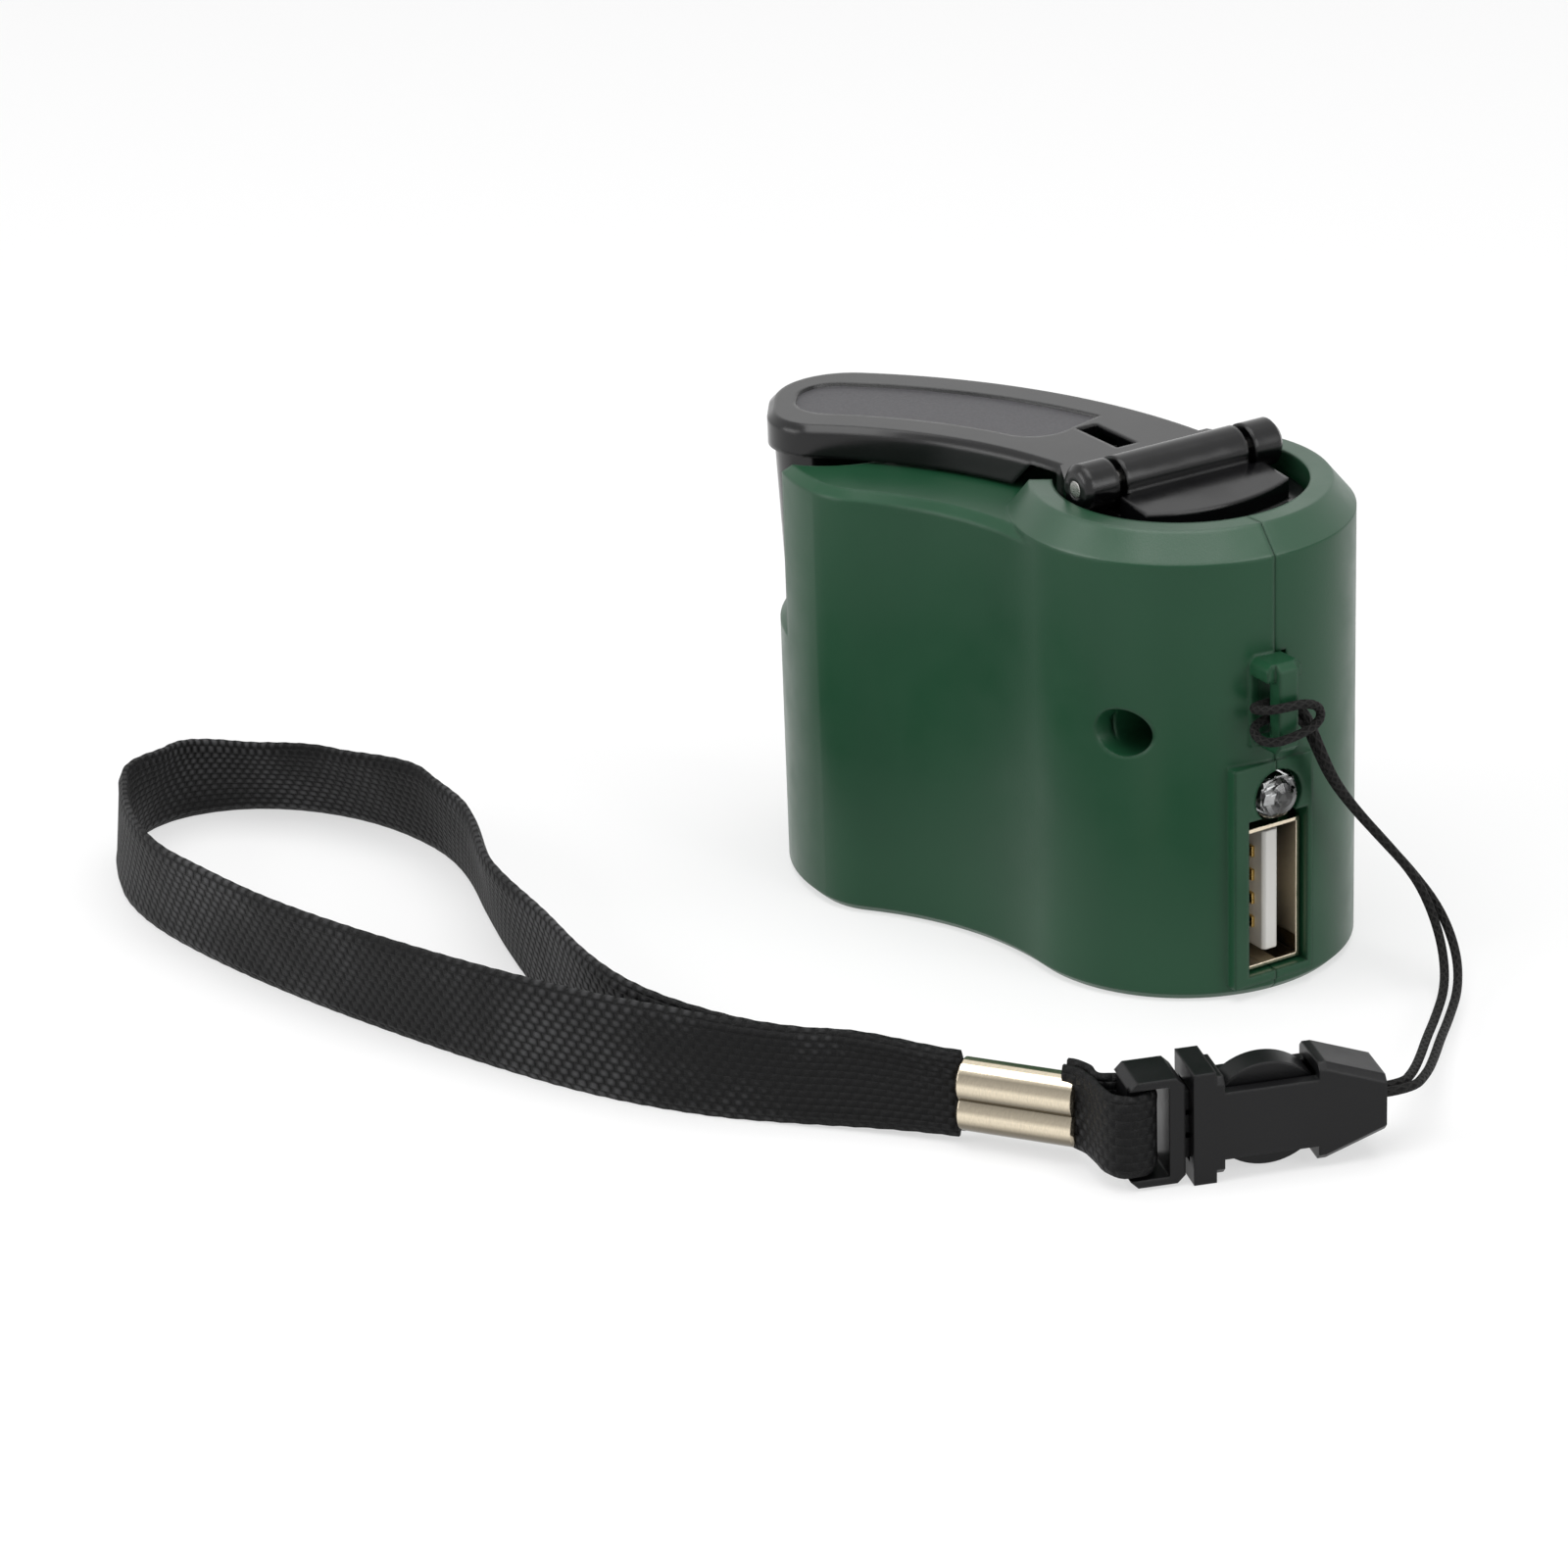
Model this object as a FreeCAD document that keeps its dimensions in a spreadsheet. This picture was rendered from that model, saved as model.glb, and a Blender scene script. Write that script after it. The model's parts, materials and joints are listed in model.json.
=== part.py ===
"""Hand crank phone charger: a bean-shaped two-shell case with a folding crank,
a geared generator, a USB socket and a wrist lanyard on a small side-release buckle.

Frame, in millimetres: +Z up, the case stands on z = 0, the crank's axis is the Z axis,
and the USB socket faces +X. The case curves from the crank's axis towards -X and -Y.
"""
import FreeCAD, Part
import math
import os
import Sketcher
from FreeCAD import Placement, Rotation, Vector

os.makedirs("parts", exist_ok=True)
doc = FreeCAD.newDocument("HandCrankCharger")
sheet = doc.addObject("Spreadsheet::Sheet", "Sizes")
UP = Vector(0, 0, 1)
ALONG_X = Vector(1, 0, 0)
ALONG_Y = Vector(0, 1, 0)


class Derived(float):
    """A number that also carries the expression it comes from."""

    def __new__(cls, value, ref):
        made = super().__new__(cls, value)
        made.ref = ref
        return made

    def __add__(self, other):
        return Derived(float(self) + float(other), f"({self.ref} + {getattr(other, 'ref', other)})")

    def __sub__(self, other):
        return Derived(float(self) - float(other), f"({self.ref} - {getattr(other, 'ref', other)})")


class Size(Derived):
    """A driving dimension: a number that also stands in the sheet under its own name."""
    row = 0

    def __new__(cls, alias, value, note):
        Size.row += 1
        sheet.set(f"A{Size.row}", note)
        sheet.set(f"B{Size.row}", str(value))
        sheet.setAlias(f"B{Size.row}", alias)
        return super().__new__(cls, value, f"<<Sizes>>.{alias}")


# ---------------------------------------------------------------- driving sizes
# Case
case_height = Size("case_height", 40.0, "top of the case beside the crank")
big_radius = Size("big_radius", 14.92, "round end about the crank's axis")
wall = Size("wall", 1.6, "shell thickness")
waist_x = Size("waist_x", -2.0, "centre of the waist's arc")
waist_y = Size("waist_y", -42.7, "centre of the waist's arc")
back_angle = Size("back_angle", 117.0, "direction in which the straight back faces, degrees")
waist_corner = Size("waist_corner", 7.0, "round between waist and tail")
corner_bearing = Size("corner_bearing", 128.86, "direction from waist to that round, degrees")
tail_bearing = Size("tail_bearing", 93.38, "direction from that round to the tail, degrees")
tail_radius = Size("tail_radius", 18.0, "radius of the tail")
back_corner = Size("back_corner", 8.0, "round between tail and back")
base_bevel = Size("base_bevel", 0.7, "bevel of the bottom edge")
top_bevel = Size("top_bevel", 0.8, "bevel of the top edge")
seam_y = Size("seam_y", -1.1, "parting plane of the shells, beside the crank's axis")
seam_gap = Size("seam_gap", 0.06, "gap between the shells")
# Collar round the crank hub
collar_rise = Size("collar_rise", 2.4, "collar above the case's top")
collar_land = Size("collar_land", 12.95, "outer radius of the collar's flat top")
collar_bore = Size("collar_bore", 10.97, "bore that the hub turns in")
collar_gap_angle = Size("collar_gap_angle", 110.0, "opening of the collar for the arm, degrees")
bore_depth = Size("bore_depth", 1.3, "floor of the bore below the case's top")
floor_thick = Size("floor_thick", 1.6, "thickness of that floor")
collar_top = case_height + collar_rise
hub_floor = case_height - bore_depth
# Recess for the knob
knob_angle = Size("knob_angle", 47.9, "place of the knob along the arm's arc, degrees")
recess_radius = Size("recess_radius", 8.8, "radius of the recess")
recess_depth = Size("recess_depth", 15.4, "floor of the recess below the case's top")
recess_wall = Size("recess_wall", 1.3, "wall inside the recess")
ledge_bevel = Size("ledge_bevel", 0.9, "bevel of the ledge under the knob")
way_gap = Size("way_gap", 1.2, "gap beside the knob in its way out towards the back")
way_turn = Size("way_turn", 45.0, "turn of that way about the crank's axis, degrees")
recess_floor = case_height - recess_depth
# Crank
arm_lift = Size("arm_lift", 0.3, "gap between case and folded arm")
arm_thick = Size("arm_thick", 2.9, "thickness of the arm")
arm_bottom = case_height + arm_lift
arm_top = arm_bottom + arm_thick
arm_half = Size("arm_half", 7.7, "half the arm's width")
arm_tip_angle = Size("arm_tip_angle", 55.3, "end of the arm along its arc, degrees")
arm_corner = Size("arm_corner", 7.0, "outer corner radius at the arm's end")
arm_inner_corner = Size("arm_inner_corner", 5.0, "inner corner radius at the arm's end")
arm_edge = Size("arm_edge", 0.6, "bevel of the arm's top edge")
arm_skin = Size("arm_skin", 1.2, "top skin over the hollow underside")
arm_wall = Size("arm_wall", 1.3, "skirt of the arm")
panel_inset = Size("panel_inset", 3.6, "border round the sunk panel")
panel_depth = Size("panel_depth", 0.3, "depth of the sunk panel")
panel_corner = Size("panel_corner", 3.4, "corner radius of the sunk panel")
panel_heel = Size("panel_heel", 3.6, "corner radius of the panel beside the hinge")
panel_tip = Size("panel_tip", 2.5, "border of the panel at the arm's end")
panel_start = Size("panel_start", 16.5, "start of the panel along the arm's arc, degrees")
cell_start = Size("cell_start", 23.0, "start of the hollow underside along that arc, degrees")
cell_stop = Size("cell_stop", 9.0, "end of the hollow underside before the knob, degrees")
collar_clear = Size("collar_clear", 0.15, "gap between arm and collar top")
hinge_x = Size("hinge_x", -0.96, "hinge pin, along X")
hinge_rise = Size("hinge_rise", 0.1, "hinge pin above the arm's top")
hinge_z = arm_top + hinge_rise
hinge_radius = Size("hinge_radius", 2.1, "outer radius of barrel and ears")
barrel_half = Size("barrel_half", 6.3, "half length of the hub's barrel")
ear_gap = Size("ear_gap", 0.8, "gap between barrel and ear")
ear_outer = Size("ear_outer", 10.3, "outer face of the ears")
ear_chamfer = Size("ear_chamfer", 0.5, "chamfer of the ears' ends")
pin_radius = Size("pin_radius", 0.75, "hinge pin")
run_fit = Size("run_fit", 0.08, "radial clearance of every turning fit")
slot_near = Size("slot_near", -1.3, "slot in the arm, near side")
slot_far = Size("slot_far", 0.8, "slot in the arm, far side")
slot_end = Size("slot_end", -13.8, "slot in the arm, outer end")
slot_start = Size("slot_start", -7.6, "slot in the arm, inner end")
# Hub
hub_gap = Size("hub_gap", 0.25, "gap between hub disc and bore")
disc_thick = Size("disc_thick", 1.45, "thickness of the hub disc")
disc_bottom = hub_floor + hub_gap
disc_top = disc_bottom + disc_thick
deck_front = Size("deck_front", 7.0, "front of the raised deck")
deck_sink = Size("deck_sink", 0.3, "deck below the hinge pin at the barrel")
deck_fall = Size("deck_fall", 0.9, "fall of the deck from the barrel to its front")
deck_half = Size("deck_half", 7.4, "half width of the deck")
deck_arc = Size("deck_arc", 17.7, "radius of the deck's front edge")
neck_radius = Size("neck_radius", 3.4, "neck through the floor")
drive_radius = Size("drive_radius", 2.4, "shaft that carries the drive gear")
drive_flat = Size("drive_flat", 1.8, "flat on that shaft, from the axis")
# Knob
knob_top_radius = Size("knob_top_radius", 5.1, "knob, upper end")
knob_low_radius = Size("knob_low_radius", 4.5, "knob, lower end")
knob_air = Size("knob_air", 1.0, "gap between the knob and the ledge")
knob_low = recess_floor + knob_air
knob_gap = Size("knob_gap", 0.3, "gap between knob and arm")
rivet_radius = Size("rivet_radius", 1.2, "rivet that the knob turns on")
rivet_head = Size("rivet_head", 2.3, "head of that rivet")
rivet_sink = Size("rivet_sink", 1.5, "depth of the counterbore for the head")
# Gears and generator
gear_module = Size("gear_module", 0.4, "module of every gear")
drive_teeth = Size("drive_teeth", 56, "teeth of the drive gear")
idler_pinion_teeth = Size("idler_pinion_teeth", 10, "teeth of the idler's pinion")
idler_teeth = Size("idler_teeth", 44, "teeth of the idler's wheel")
rotor_teeth = Size("rotor_teeth", 10, "teeth of the generator's pinion")
idler_bearing = Size("idler_bearing", 195.0, "direction from crank to idler, degrees")
rotor_bearing = Size("rotor_bearing", 196.5, "direction from idler to generator, degrees")
gear_width = Size("gear_width", 2.4, "face width of the wheels")
drive_drop = Size("drive_drop", 3.5, "drive gear's underside below the bore's floor")
idler_drop = Size("idler_drop", 6.0, "idler wheel's underside below the drive gear's")
drive_gear_low = hub_floor - floor_thick - drive_drop
idler_low = drive_gear_low - idler_drop
axle_radius = Size("axle_radius", 0.75, "axles of idler and rotor")
plate_air = Size("plate_air", 0.8, "gap between the gear plate and the recess")
plate_end = Size("plate_end", 4.4, "end of the gear plate, along X")
shelf = Size("shelf", 0.5, "width of the shelf that the plate lies on")
shelf_tall = Size("shelf_tall", 1.4, "height of that shelf")
plate_thick = Size("plate_thick", 1.2, "gear plate")
plate_low = recess_floor - recess_wall - plate_air - plate_thick
can_radius = Size("can_radius", 8.0, "generator can")
can_low = Size("can_low", 6.0, "bottom of the generator")
can_wall = Size("can_wall", 0.7, "wall of the can")
magnet_radius = Size("magnet_radius", 4.4, "rotor magnet")
coil_gap = Size("coil_gap", 0.5, "air gap between magnet and coil")
coil_thick = Size("coil_thick", 1.8, "winding")
# USB socket, indicator lamp and board
front_y = Size("front_y", -0.85, "middle of socket and lamp, beside the crank's axis")
usb_width = Size("usb_width", 5.7, "thickness of the USB shell, across")
usb_tall = Size("usb_tall", 13.1, "width of the USB shell, upright")
usb_deep = Size("usb_deep", 14.0, "depth of the USB shell")
usb_low = Size("usb_low", 2.3, "underside of the USB shell")
usb_front = Size("usb_front", 14.2, "mouth of the USB shell")
usb_skin = Size("usb_skin", 0.35, "sheet of the USB shell")
tongue_offset = Size("tongue_offset", -0.35, "tongue's near face from the socket's middle")
tongue_thick = Size("tongue_thick", 1.6, "tongue thickness")
tongue_tall = Size("tongue_tall", 11.1, "tongue width")
tongue_set = Size("tongue_set", 0.8, "tongue behind the mouth")
tongue_root = Size("tongue_root", 4.2, "block behind the tongue")
contact_pitch = Size("contact_pitch", 2.2, "distance between contacts")
contact_width = Size("contact_width", 1.0, "width of a contact")
contact_set = Size("contact_set", 1.3, "contacts behind the tongue's edge")
contact_lift = Size("contact_lift", 0.25, "height of a contact")
spring_width = Size("spring_width", 2.0, "width of the shell's spring windows")
spring_length = Size("spring_length", 4.6, "length of the shell's spring windows")
spring_set = Size("spring_set", 3.2, "spring windows behind the mouth")
window_gap = Size("window_gap", 0.25, "gap round the USB shell in its window")
window_rise = Size("window_rise", 1.2, "gap over the USB shell in its window")
frame_y = Size("frame_y", -1.3, "middle of the raised frame, beside the crank's axis")
frame_half = Size("frame_half", 4.1, "half width of the raised frame")
frame_low = Size("frame_low", 1.2, "bottom of the raised frame")
frame_top = Size("frame_top", 21.6, "top of the raised frame")
frame_face = Size("frame_face", 15.1, "flat face of the raised frame")
lamp_radius = Size("lamp_radius", 2.35, "lamp")
lamp_z = Size("lamp_z", 18.3, "height of the lamp")
lamp_length = Size("lamp_length", 8.0, "length of the lamp")
lamp_tip = Size("lamp_tip", 16.2, "tip of the lamp's dome")
board_thick = Size("board_thick", 1.2, "circuit board")
board_back = Size("board_back", -6.0, "inner edge of the board")
board_front = Size("board_front", 11.2, "outer edge of the board")
board_air = Size("board_air", 0.9, "gap between the board and the gear plate")
board_top = plate_low - board_air
chip_length = Size("chip_length", 5.0, "regulator chip")
chip_tall = Size("chip_tall", 4.0, "regulator chip, upright")
chip_thick = Size("chip_thick", 1.4, "regulator chip, thickness")
capacitor_radius = Size("capacitor_radius", 2.4, "capacitor")
capacitor_length = Size("capacitor_length", 7.0, "capacitor")
capacitor_bevel = Size("capacitor_bevel", 0.4, "bevel of its upper rim")
# Case screw
screw_x = Size("screw_x", 8.35, "case screw, along X")
screw_z = Size("screw_z", 24.7, "case screw, height")
screw_sink = Size("screw_sink", 2.15, "radius of the deep counterbore")
screw_seat = Size("screw_seat", -5.5, "seat of the screw's head")
screw_head = Size("screw_head", 1.9, "radius of the screw's head")
screw_thread = Size("screw_thread", 1.0, "radius of the screw's thread")
boss_radius = Size("boss_radius", 3.1, "screw boss")
# Eyelet for the lanyard
eyelet_y = Size("eyelet_y", -1.8, "middle of the eyelet, beside the crank's axis")
eyelet_top = Size("eyelet_top", 31.4, "top of the eyelet")
eyelet_low = Size("eyelet_low", 23.3, "bottom of the eyelet")
eyelet_out = Size("eyelet_out", 2.9, "how far the eyelet stands out")
eyelet_bar = Size("eyelet_bar", 1.4, "thickness of its bar")
eyelet_half = Size("eyelet_half", 0.95, "half width of its bar")
eyelet_cap_half = Size("eyelet_cap_half", 1.75, "half width of its upper block")
eyelet_cap = Size("eyelet_cap", 1.5, "height of its upper block")
eyelet_foot = Size("eyelet_foot", 1.1, "height of its lower foot")
hitch_upper = Size("hitch_upper", 27.0, "upper turn of the string's hitch")
hitch_lower = Size("hitch_lower", 24.6, "lower turn of the string's hitch")
eyelet_bevel = Size("eyelet_bevel", 0.6, "bevel of the eyelet's corners")
# Lanyard
string_diameter = Size("string_diameter", 0.8, "braided string")
string_space = Size("string_space", 1.15, "distance between the two strands")
strap_width = Size("strap_width", 10.0, "webbing, upright")
strap_thick = Size("strap_thick", 0.9, "webbing thickness")
tab_width = Size("tab_width", 7.2, "webbing of the buckle's tab, upright")
tab_insert = Size("tab_insert", 1.2, "length of the tab's ends in the ferrule")
crimp_length = Size("crimp_length", 10.2, "ferrule length")
crimp_lobe = Size("crimp_lobe", 1.9, "radius of each lobe of the ferrule")
crimp_pinch = Size("crimp_pinch", 0.49, "groove between the lobes")
crimp_low = Size("crimp_low", 1.1, "underside of the ferrule")
crimp_bevel = Size("crimp_bevel", 0.25, "bevel of the ferrule's ends")
buckle_length = Size("buckle_length", 21.4, "buckle, closed")
buckle_tall = Size("buckle_tall", 9.8, "buckle width, upright")
buckle_thick = Size("buckle_thick", 5.2, "buckle thickness")
buckle_frame = Size("buckle_frame", 4.6, "length of the strap frame")
buckle_flange = Size("buckle_flange", 1.9, "mouth flange")
buckle_wall = Size("buckle_wall", 1.1, "faces of the socket")
buckle_step = Size("buckle_step", 0.6, "socket's box inside the flange's edge")
buckle_box = Size("buckle_box", 9.3, "length of the box up to the nose")
buckle_nose = Size("buckle_nose", 2.45, "half width of the nose's end")
buckle_joint = Size("buckle_joint", 0.6, "gap between strap frame and flange")
window_depth = Size("window_depth", 1.35, "depth of the side windows")
window_set = Size("window_set", 0.7, "side windows from the flange and the nose")
prong_thick = Size("prong_thick", 1.7, "thickness of a prong")
prong_bulge = Size("prong_bulge", 0.2, "how far a prong stands out of its window")
stem_half = Size("stem_half", 0.8, "half width of the middle tongue")
prong_gap = Size("prong_gap", 0.25, "gap round the prongs")
buckle_rim = Size("buckle_rim", 0.9, "rim of the strap frame")
buckle_bar = Size("buckle_bar", 1.5, "width of the bar that the webbing goes round")
buckle_slot = Size("buckle_slot", 1.8, "slot beside that bar")

# ---------------------------------------------------------------- helpers


def vec(x, y, z=0.0):
    return Vector(float(x), float(y), float(z))


def polar(radius, degrees, z=0.0):
    turn = math.radians(degrees)
    return vec(radius * math.cos(turn), radius * math.sin(turn), z)


def new_body(label, at=None, turn=None):
    body = doc.addObject("PartDesign::Body", label)
    body.Label = label
    body.Placement = Placement(at or vec(0, 0), turn or Rotation())
    return body


def sketch_on(body, name, role="XY_Plane", offset=None):
    """A sketch on one of the body's own origin planes, raised by an expression."""
    drawing = body.newObject("Sketcher::SketchObject", name)
    plane = next(f for f in body.Origin.OriginFeatures if f.Role == role)
    drawing.AttachmentSupport = [(plane, "")]
    drawing.MapMode = "FlatFace"
    if offset is not None:
        drawing.setExpression("AttachmentOffset.Base.z", offset)
    return drawing


def draw_circle(drawing, centre, radius, expression=None):
    """A circle whose radius follows an expression."""
    index = drawing.addGeometry(Part.Circle(centre, UP, float(radius)), False)
    if expression is None:
        expression = getattr(radius, "ref", None)
    if expression:
        rule = drawing.addConstraint(Sketcher.Constraint("Radius", index, float(radius)))
        drawing.setExpression(f"Constraints[{rule}]", expression)


def draw_polygon(drawing, points):
    for first, second in zip(points, points[1:] + points[:1]):
        drawing.addGeometry(Part.LineSegment(first, second), False)


def draw_box(drawing, x_low, y_low, x_high, y_high):
    corners = [(x_low, y_low), (x_high, y_low), (x_high, y_high), (x_low, y_high)]
    draw_polygon(drawing, [vec(x, y) for x, y in corners])


def draw_edges(drawing, edges):
    for edge in edges:
        drawing.addGeometry(edge, False)


def arc_between(centre, start, end, turn_left=True):
    """The arc about centre from start to end, anticlockwise if turn_left."""
    if not turn_left:
        start, end = end, start
    first = math.atan2(start.y - centre.y, start.x - centre.x)
    last = math.atan2(end.y - centre.y, end.x - centre.x)
    if last <= first:
        last += 2 * math.pi
    ring = Part.Circle(centre, UP, start.distanceToPoint(centre))
    return Part.ArcOfCircle(ring, first, last)


def extrude(body, kind, drawing, length, name, flip=False):
    """A Pad or Pocket of the drawing; length is an expression."""
    feature = body.newObject(f"PartDesign::{kind}", name)
    feature.Profile = drawing
    feature.setExpression("Length", length)
    feature.Reversed = flip
    drawing.Visibility = False
    return feature


def pad(body, drawing, length, name, flip=False):
    return extrude(body, "Pad", drawing, length, name, flip)


def pocket(body, drawing, length, name, flip=False):
    return extrude(body, "Pocket", drawing, length, name, flip)


def pad_both_ways(body, drawing, length, name):
    feature = pad(body, drawing, length, name)
    feature.Midplane = True
    return feature


def pocket_both_ways(body, drawing, length, name):
    feature = pocket(body, drawing, length, name)
    feature.Midplane = True
    return feature


def turn_about(body, kind, drawing, axis, name):
    """A full Revolution or Groove about an axis of the drawing."""
    feature = body.newObject(f"PartDesign::{kind}", name)
    feature.Profile = drawing
    feature.ReferenceAxis = (drawing, [axis])
    feature.Angle = 360
    drawing.Visibility = False
    return feature


def dress(body, kind, base, test, size, name):
    """A Fillet or Chamfer on the edges of base that pass the test."""
    doc.recompute()
    chosen = [f"Edge{i + 1}" for i, edge in enumerate(base.Shape.Edges) if test(edge)]
    if not chosen:
        raise ValueError(f"{name}: no edge to dress")
    feature = body.newObject(f"PartDesign::{kind}", name)
    feature.Base = (base, chosen)
    prop = "Radius" if kind == "Fillet" else "Size"
    feature.setExpression(prop, size)
    return feature


def level(edge, z):
    """Whether the edge lies flat at height z."""
    box = edge.BoundBox
    return abs(box.ZMin - z) < 1e-4 and abs(box.ZMax - z) < 1e-4


def part_cylinder(name, radius, height, at, axis=UP):
    """A Part::Cylinder whose radius and height are expressions."""
    made = doc.addObject("Part::Cylinder", name)
    made.setExpression("Radius", radius)
    made.setExpression("Height", height)
    made.Placement = Placement(at, Rotation(UP, axis))
    return made


def part_box(name, low, high):
    made = doc.addObject("Part::Box", name)
    made.Length = high.x - low.x
    made.Width = high.y - low.y
    made.Height = high.z - low.z
    made.Placement = Placement(low, Rotation())
    return made


def boolean(kind, name, base, tool):
    made = doc.addObject(f"Part::{kind}", name)
    made.Label = name
    made.Base = base
    made.Tool = tool
    return made


def fuse_all(name, pieces):
    made = doc.addObject("Part::MultiFuse", name)
    made.Label = name
    made.Shapes = pieces
    return made


# ---------------------------------------------------------------- plan of the case
waist_centre = vec(waist_x, waist_y)
waist_radius = waist_centre.Length - big_radius
near_centre = waist_centre + polar(waist_radius + waist_corner, corner_bearing)
tail_centre = near_centre + polar(tail_radius - waist_corner, tail_bearing)
arc_centre = waist_centre
arm_radius = abs(waist_y)
arm_inner = arm_radius - arm_half
arm_outer = arm_radius + arm_half
knob_place = arc_centre + polar(arm_radius, 90 + knob_angle)


def toward(centre, point, radius):
    """The point at radius from centre on the way to another point."""
    return centre + (point - centre) * (radius / (point - centre).Length)


def case_outline(inset=0.0):
    """The bean: round end, straight back, tail and waist, drawn inset by some wall."""
    out = polar(1, back_angle)
    along = vec(-out.y, out.x)
    # the back corner touches the straight back and the tail from inside
    foot = out * (big_radius - back_corner)
    to_foot = foot - tail_centre
    reach = tail_radius - back_corner
    half = to_foot.dot(along)
    step = -half + math.sqrt(half ** 2 - to_foot.dot(to_foot) + reach ** 2)
    back_centre = foot + along * step
    big = big_radius - inset
    tail = tail_radius - inset
    waist = waist_radius + inset
    p_back = out * big
    p_corner = back_centre + out * (back_corner - inset)
    p_tail_back = toward(tail_centre, back_centre, tail)
    p_tail_near = toward(tail_centre, near_centre, tail)
    p_waist = toward(waist_centre, near_centre, waist)
    p_big = toward(vec(0, 0), waist_centre, big)
    return [
        arc_between(vec(0, 0), p_big, p_back),
        Part.LineSegment(p_back, p_corner),
        arc_between(back_centre, p_corner, p_tail_back),
        arc_between(tail_centre, p_tail_back, p_tail_near),
        arc_between(near_centre, p_tail_near, p_waist),
        arc_between(waist_centre, p_waist, p_big, False),
    ]


def way_outline(inset=0.0):
    """The knob's way out of its recess: a ring sector about the crank's axis."""
    start = math.degrees(math.atan2(knob_place.y, knob_place.x))
    near = knob_place.Length - knob_top_radius - way_gap - inset
    far = 2 * knob_place.Length
    corners = [polar(radius, start - turn) for radius, turn in
               ((near, way_turn), (near, 0), (far, 0), (far, way_turn))]
    return [
        arc_between(vec(0, 0), corners[0], corners[1]),
        Part.LineSegment(corners[1], corners[2]),
        arc_between(vec(0, 0), corners[3], corners[2]),
        Part.LineSegment(corners[3], corners[0]),
    ]


def band_outline(inner, outer, start, end, near_corner, far_corner, heel=0.0):
    """A curved band about the arm's centre with a rounded far end, and a heel at its start."""
    lift = 90.0
    inner_turn = math.degrees(math.asin(near_corner / (inner + near_corner)))
    outer_turn = math.degrees(math.asin(far_corner / (outer - far_corner)))
    low = arc_centre + polar(inner + near_corner, lift + end - inner_turn)
    high = arc_centre + polar(outer - far_corner, lift + end - outer_turn)
    end_way = polar(1, lift + end)
    inner_start = arc_centre + polar(inner, lift + start)
    outer_start = arc_centre + polar(outer, lift + start)
    low_side = toward(arc_centre, low, inner)
    high_side = toward(arc_centre, high, outer)
    low_end = arc_centre + end_way * end_way.dot(low - arc_centre)
    high_end = arc_centre + end_way * end_way.dot(high - arc_centre)
    edges = [
        arc_between(low, low_end, low_side),
        Part.LineSegment(low_end, high_end),
        arc_between(high, high_side, high_end),
        arc_between(arc_centre, outer_start, high_side),
    ]
    if not heel:
        return edges + [Part.LineSegment(outer_start, inner_start),
                        arc_between(arc_centre, inner_start, low_side)]
    heel_turn = math.degrees(math.asin(heel / (inner + heel)))
    middle = arc_centre + polar(inner + heel, lift + start + heel_turn)
    start_way = polar(1, lift + start)
    heel_start = arc_centre + start_way * start_way.dot(middle - arc_centre)
    heel_side = toward(arc_centre, middle, inner)
    return edges + [Part.LineSegment(outer_start, heel_start),
                    arc_between(middle, heel_side, heel_start),
                    arc_between(arc_centre, heel_side, low_side)]


# ---------------------------------------------------------------- case
def case_lower():
    """The case below the knob recess, bevelled below and where the recess's ledge shows."""
    body = new_body("case_lower")
    plan = sketch_on(body, "lower_plan")
    draw_edges(plan, case_outline())
    block = pad(body, plan, recess_floor.ref, "lower_block")
    ledge = dress(body, "Chamfer", block, lambda e: level(e, recess_floor), ledge_bevel.ref, "ledge_edge")
    dress(body, "Chamfer", ledge, lambda e: level(e, 0), base_bevel.ref, "base_edge")
    return body


def case_upper():
    """The case from the ledge's bevel up: collar with its opening, bore and knob recess."""
    body = new_body("case_upper")
    low = f"{recess_floor.ref} - {ledge_bevel.ref}"
    plan = sketch_on(body, "upper_plan", "XY_Plane", low)
    draw_edges(plan, case_outline())
    block = pad(body, plan, f"{case_height.ref} - ({low})", "upper_block")
    dress(body, "Chamfer", block, lambda e: level(e, case_height), top_bevel.ref, "top_edge")
    ring = sketch_on(body, "collar_profile", "XZ_Plane")
    inside = collar_bore - 2 * wall
    under = hub_floor - floor_thick
    draw_polygon(ring, [vec(inside, under), vec(big_radius, under), vec(big_radius, case_height),
                        vec(collar_land, collar_top), vec(inside, collar_top)])
    turn_about(body, "Revolution", ring, "V_Axis", "collar")
    opening = sketch_on(body, "collar_opening_plan", "XY_Plane", case_height.ref)
    far = 2 * big_radius
    half = collar_gap_angle / 2
    draw_polygon(opening, [vec(0, 0), polar(far, 180 - half), polar(far, 180 + half)])
    pocket(body, opening, f"{collar_top.ref}", "collar_opening", True)
    bore = sketch_on(body, "bore_plan", "XY_Plane", hub_floor.ref)
    draw_circle(bore, vec(0, 0), collar_bore)
    pocket(body, bore, f"{collar_top.ref}", "bore", True)
    recess = sketch_on(body, "recess_plan", "XY_Plane", f"{low} - 1")
    draw_circle(recess, knob_place, recess_radius)
    pocket(body, recess, case_height.ref, "knob_recess", True)
    way = sketch_on(body, "knob_way_plan", "XY_Plane", f"{low} - 1")
    draw_edges(way, way_outline())
    pocket(body, way, case_height.ref, "knob_way", True)
    return body


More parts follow.
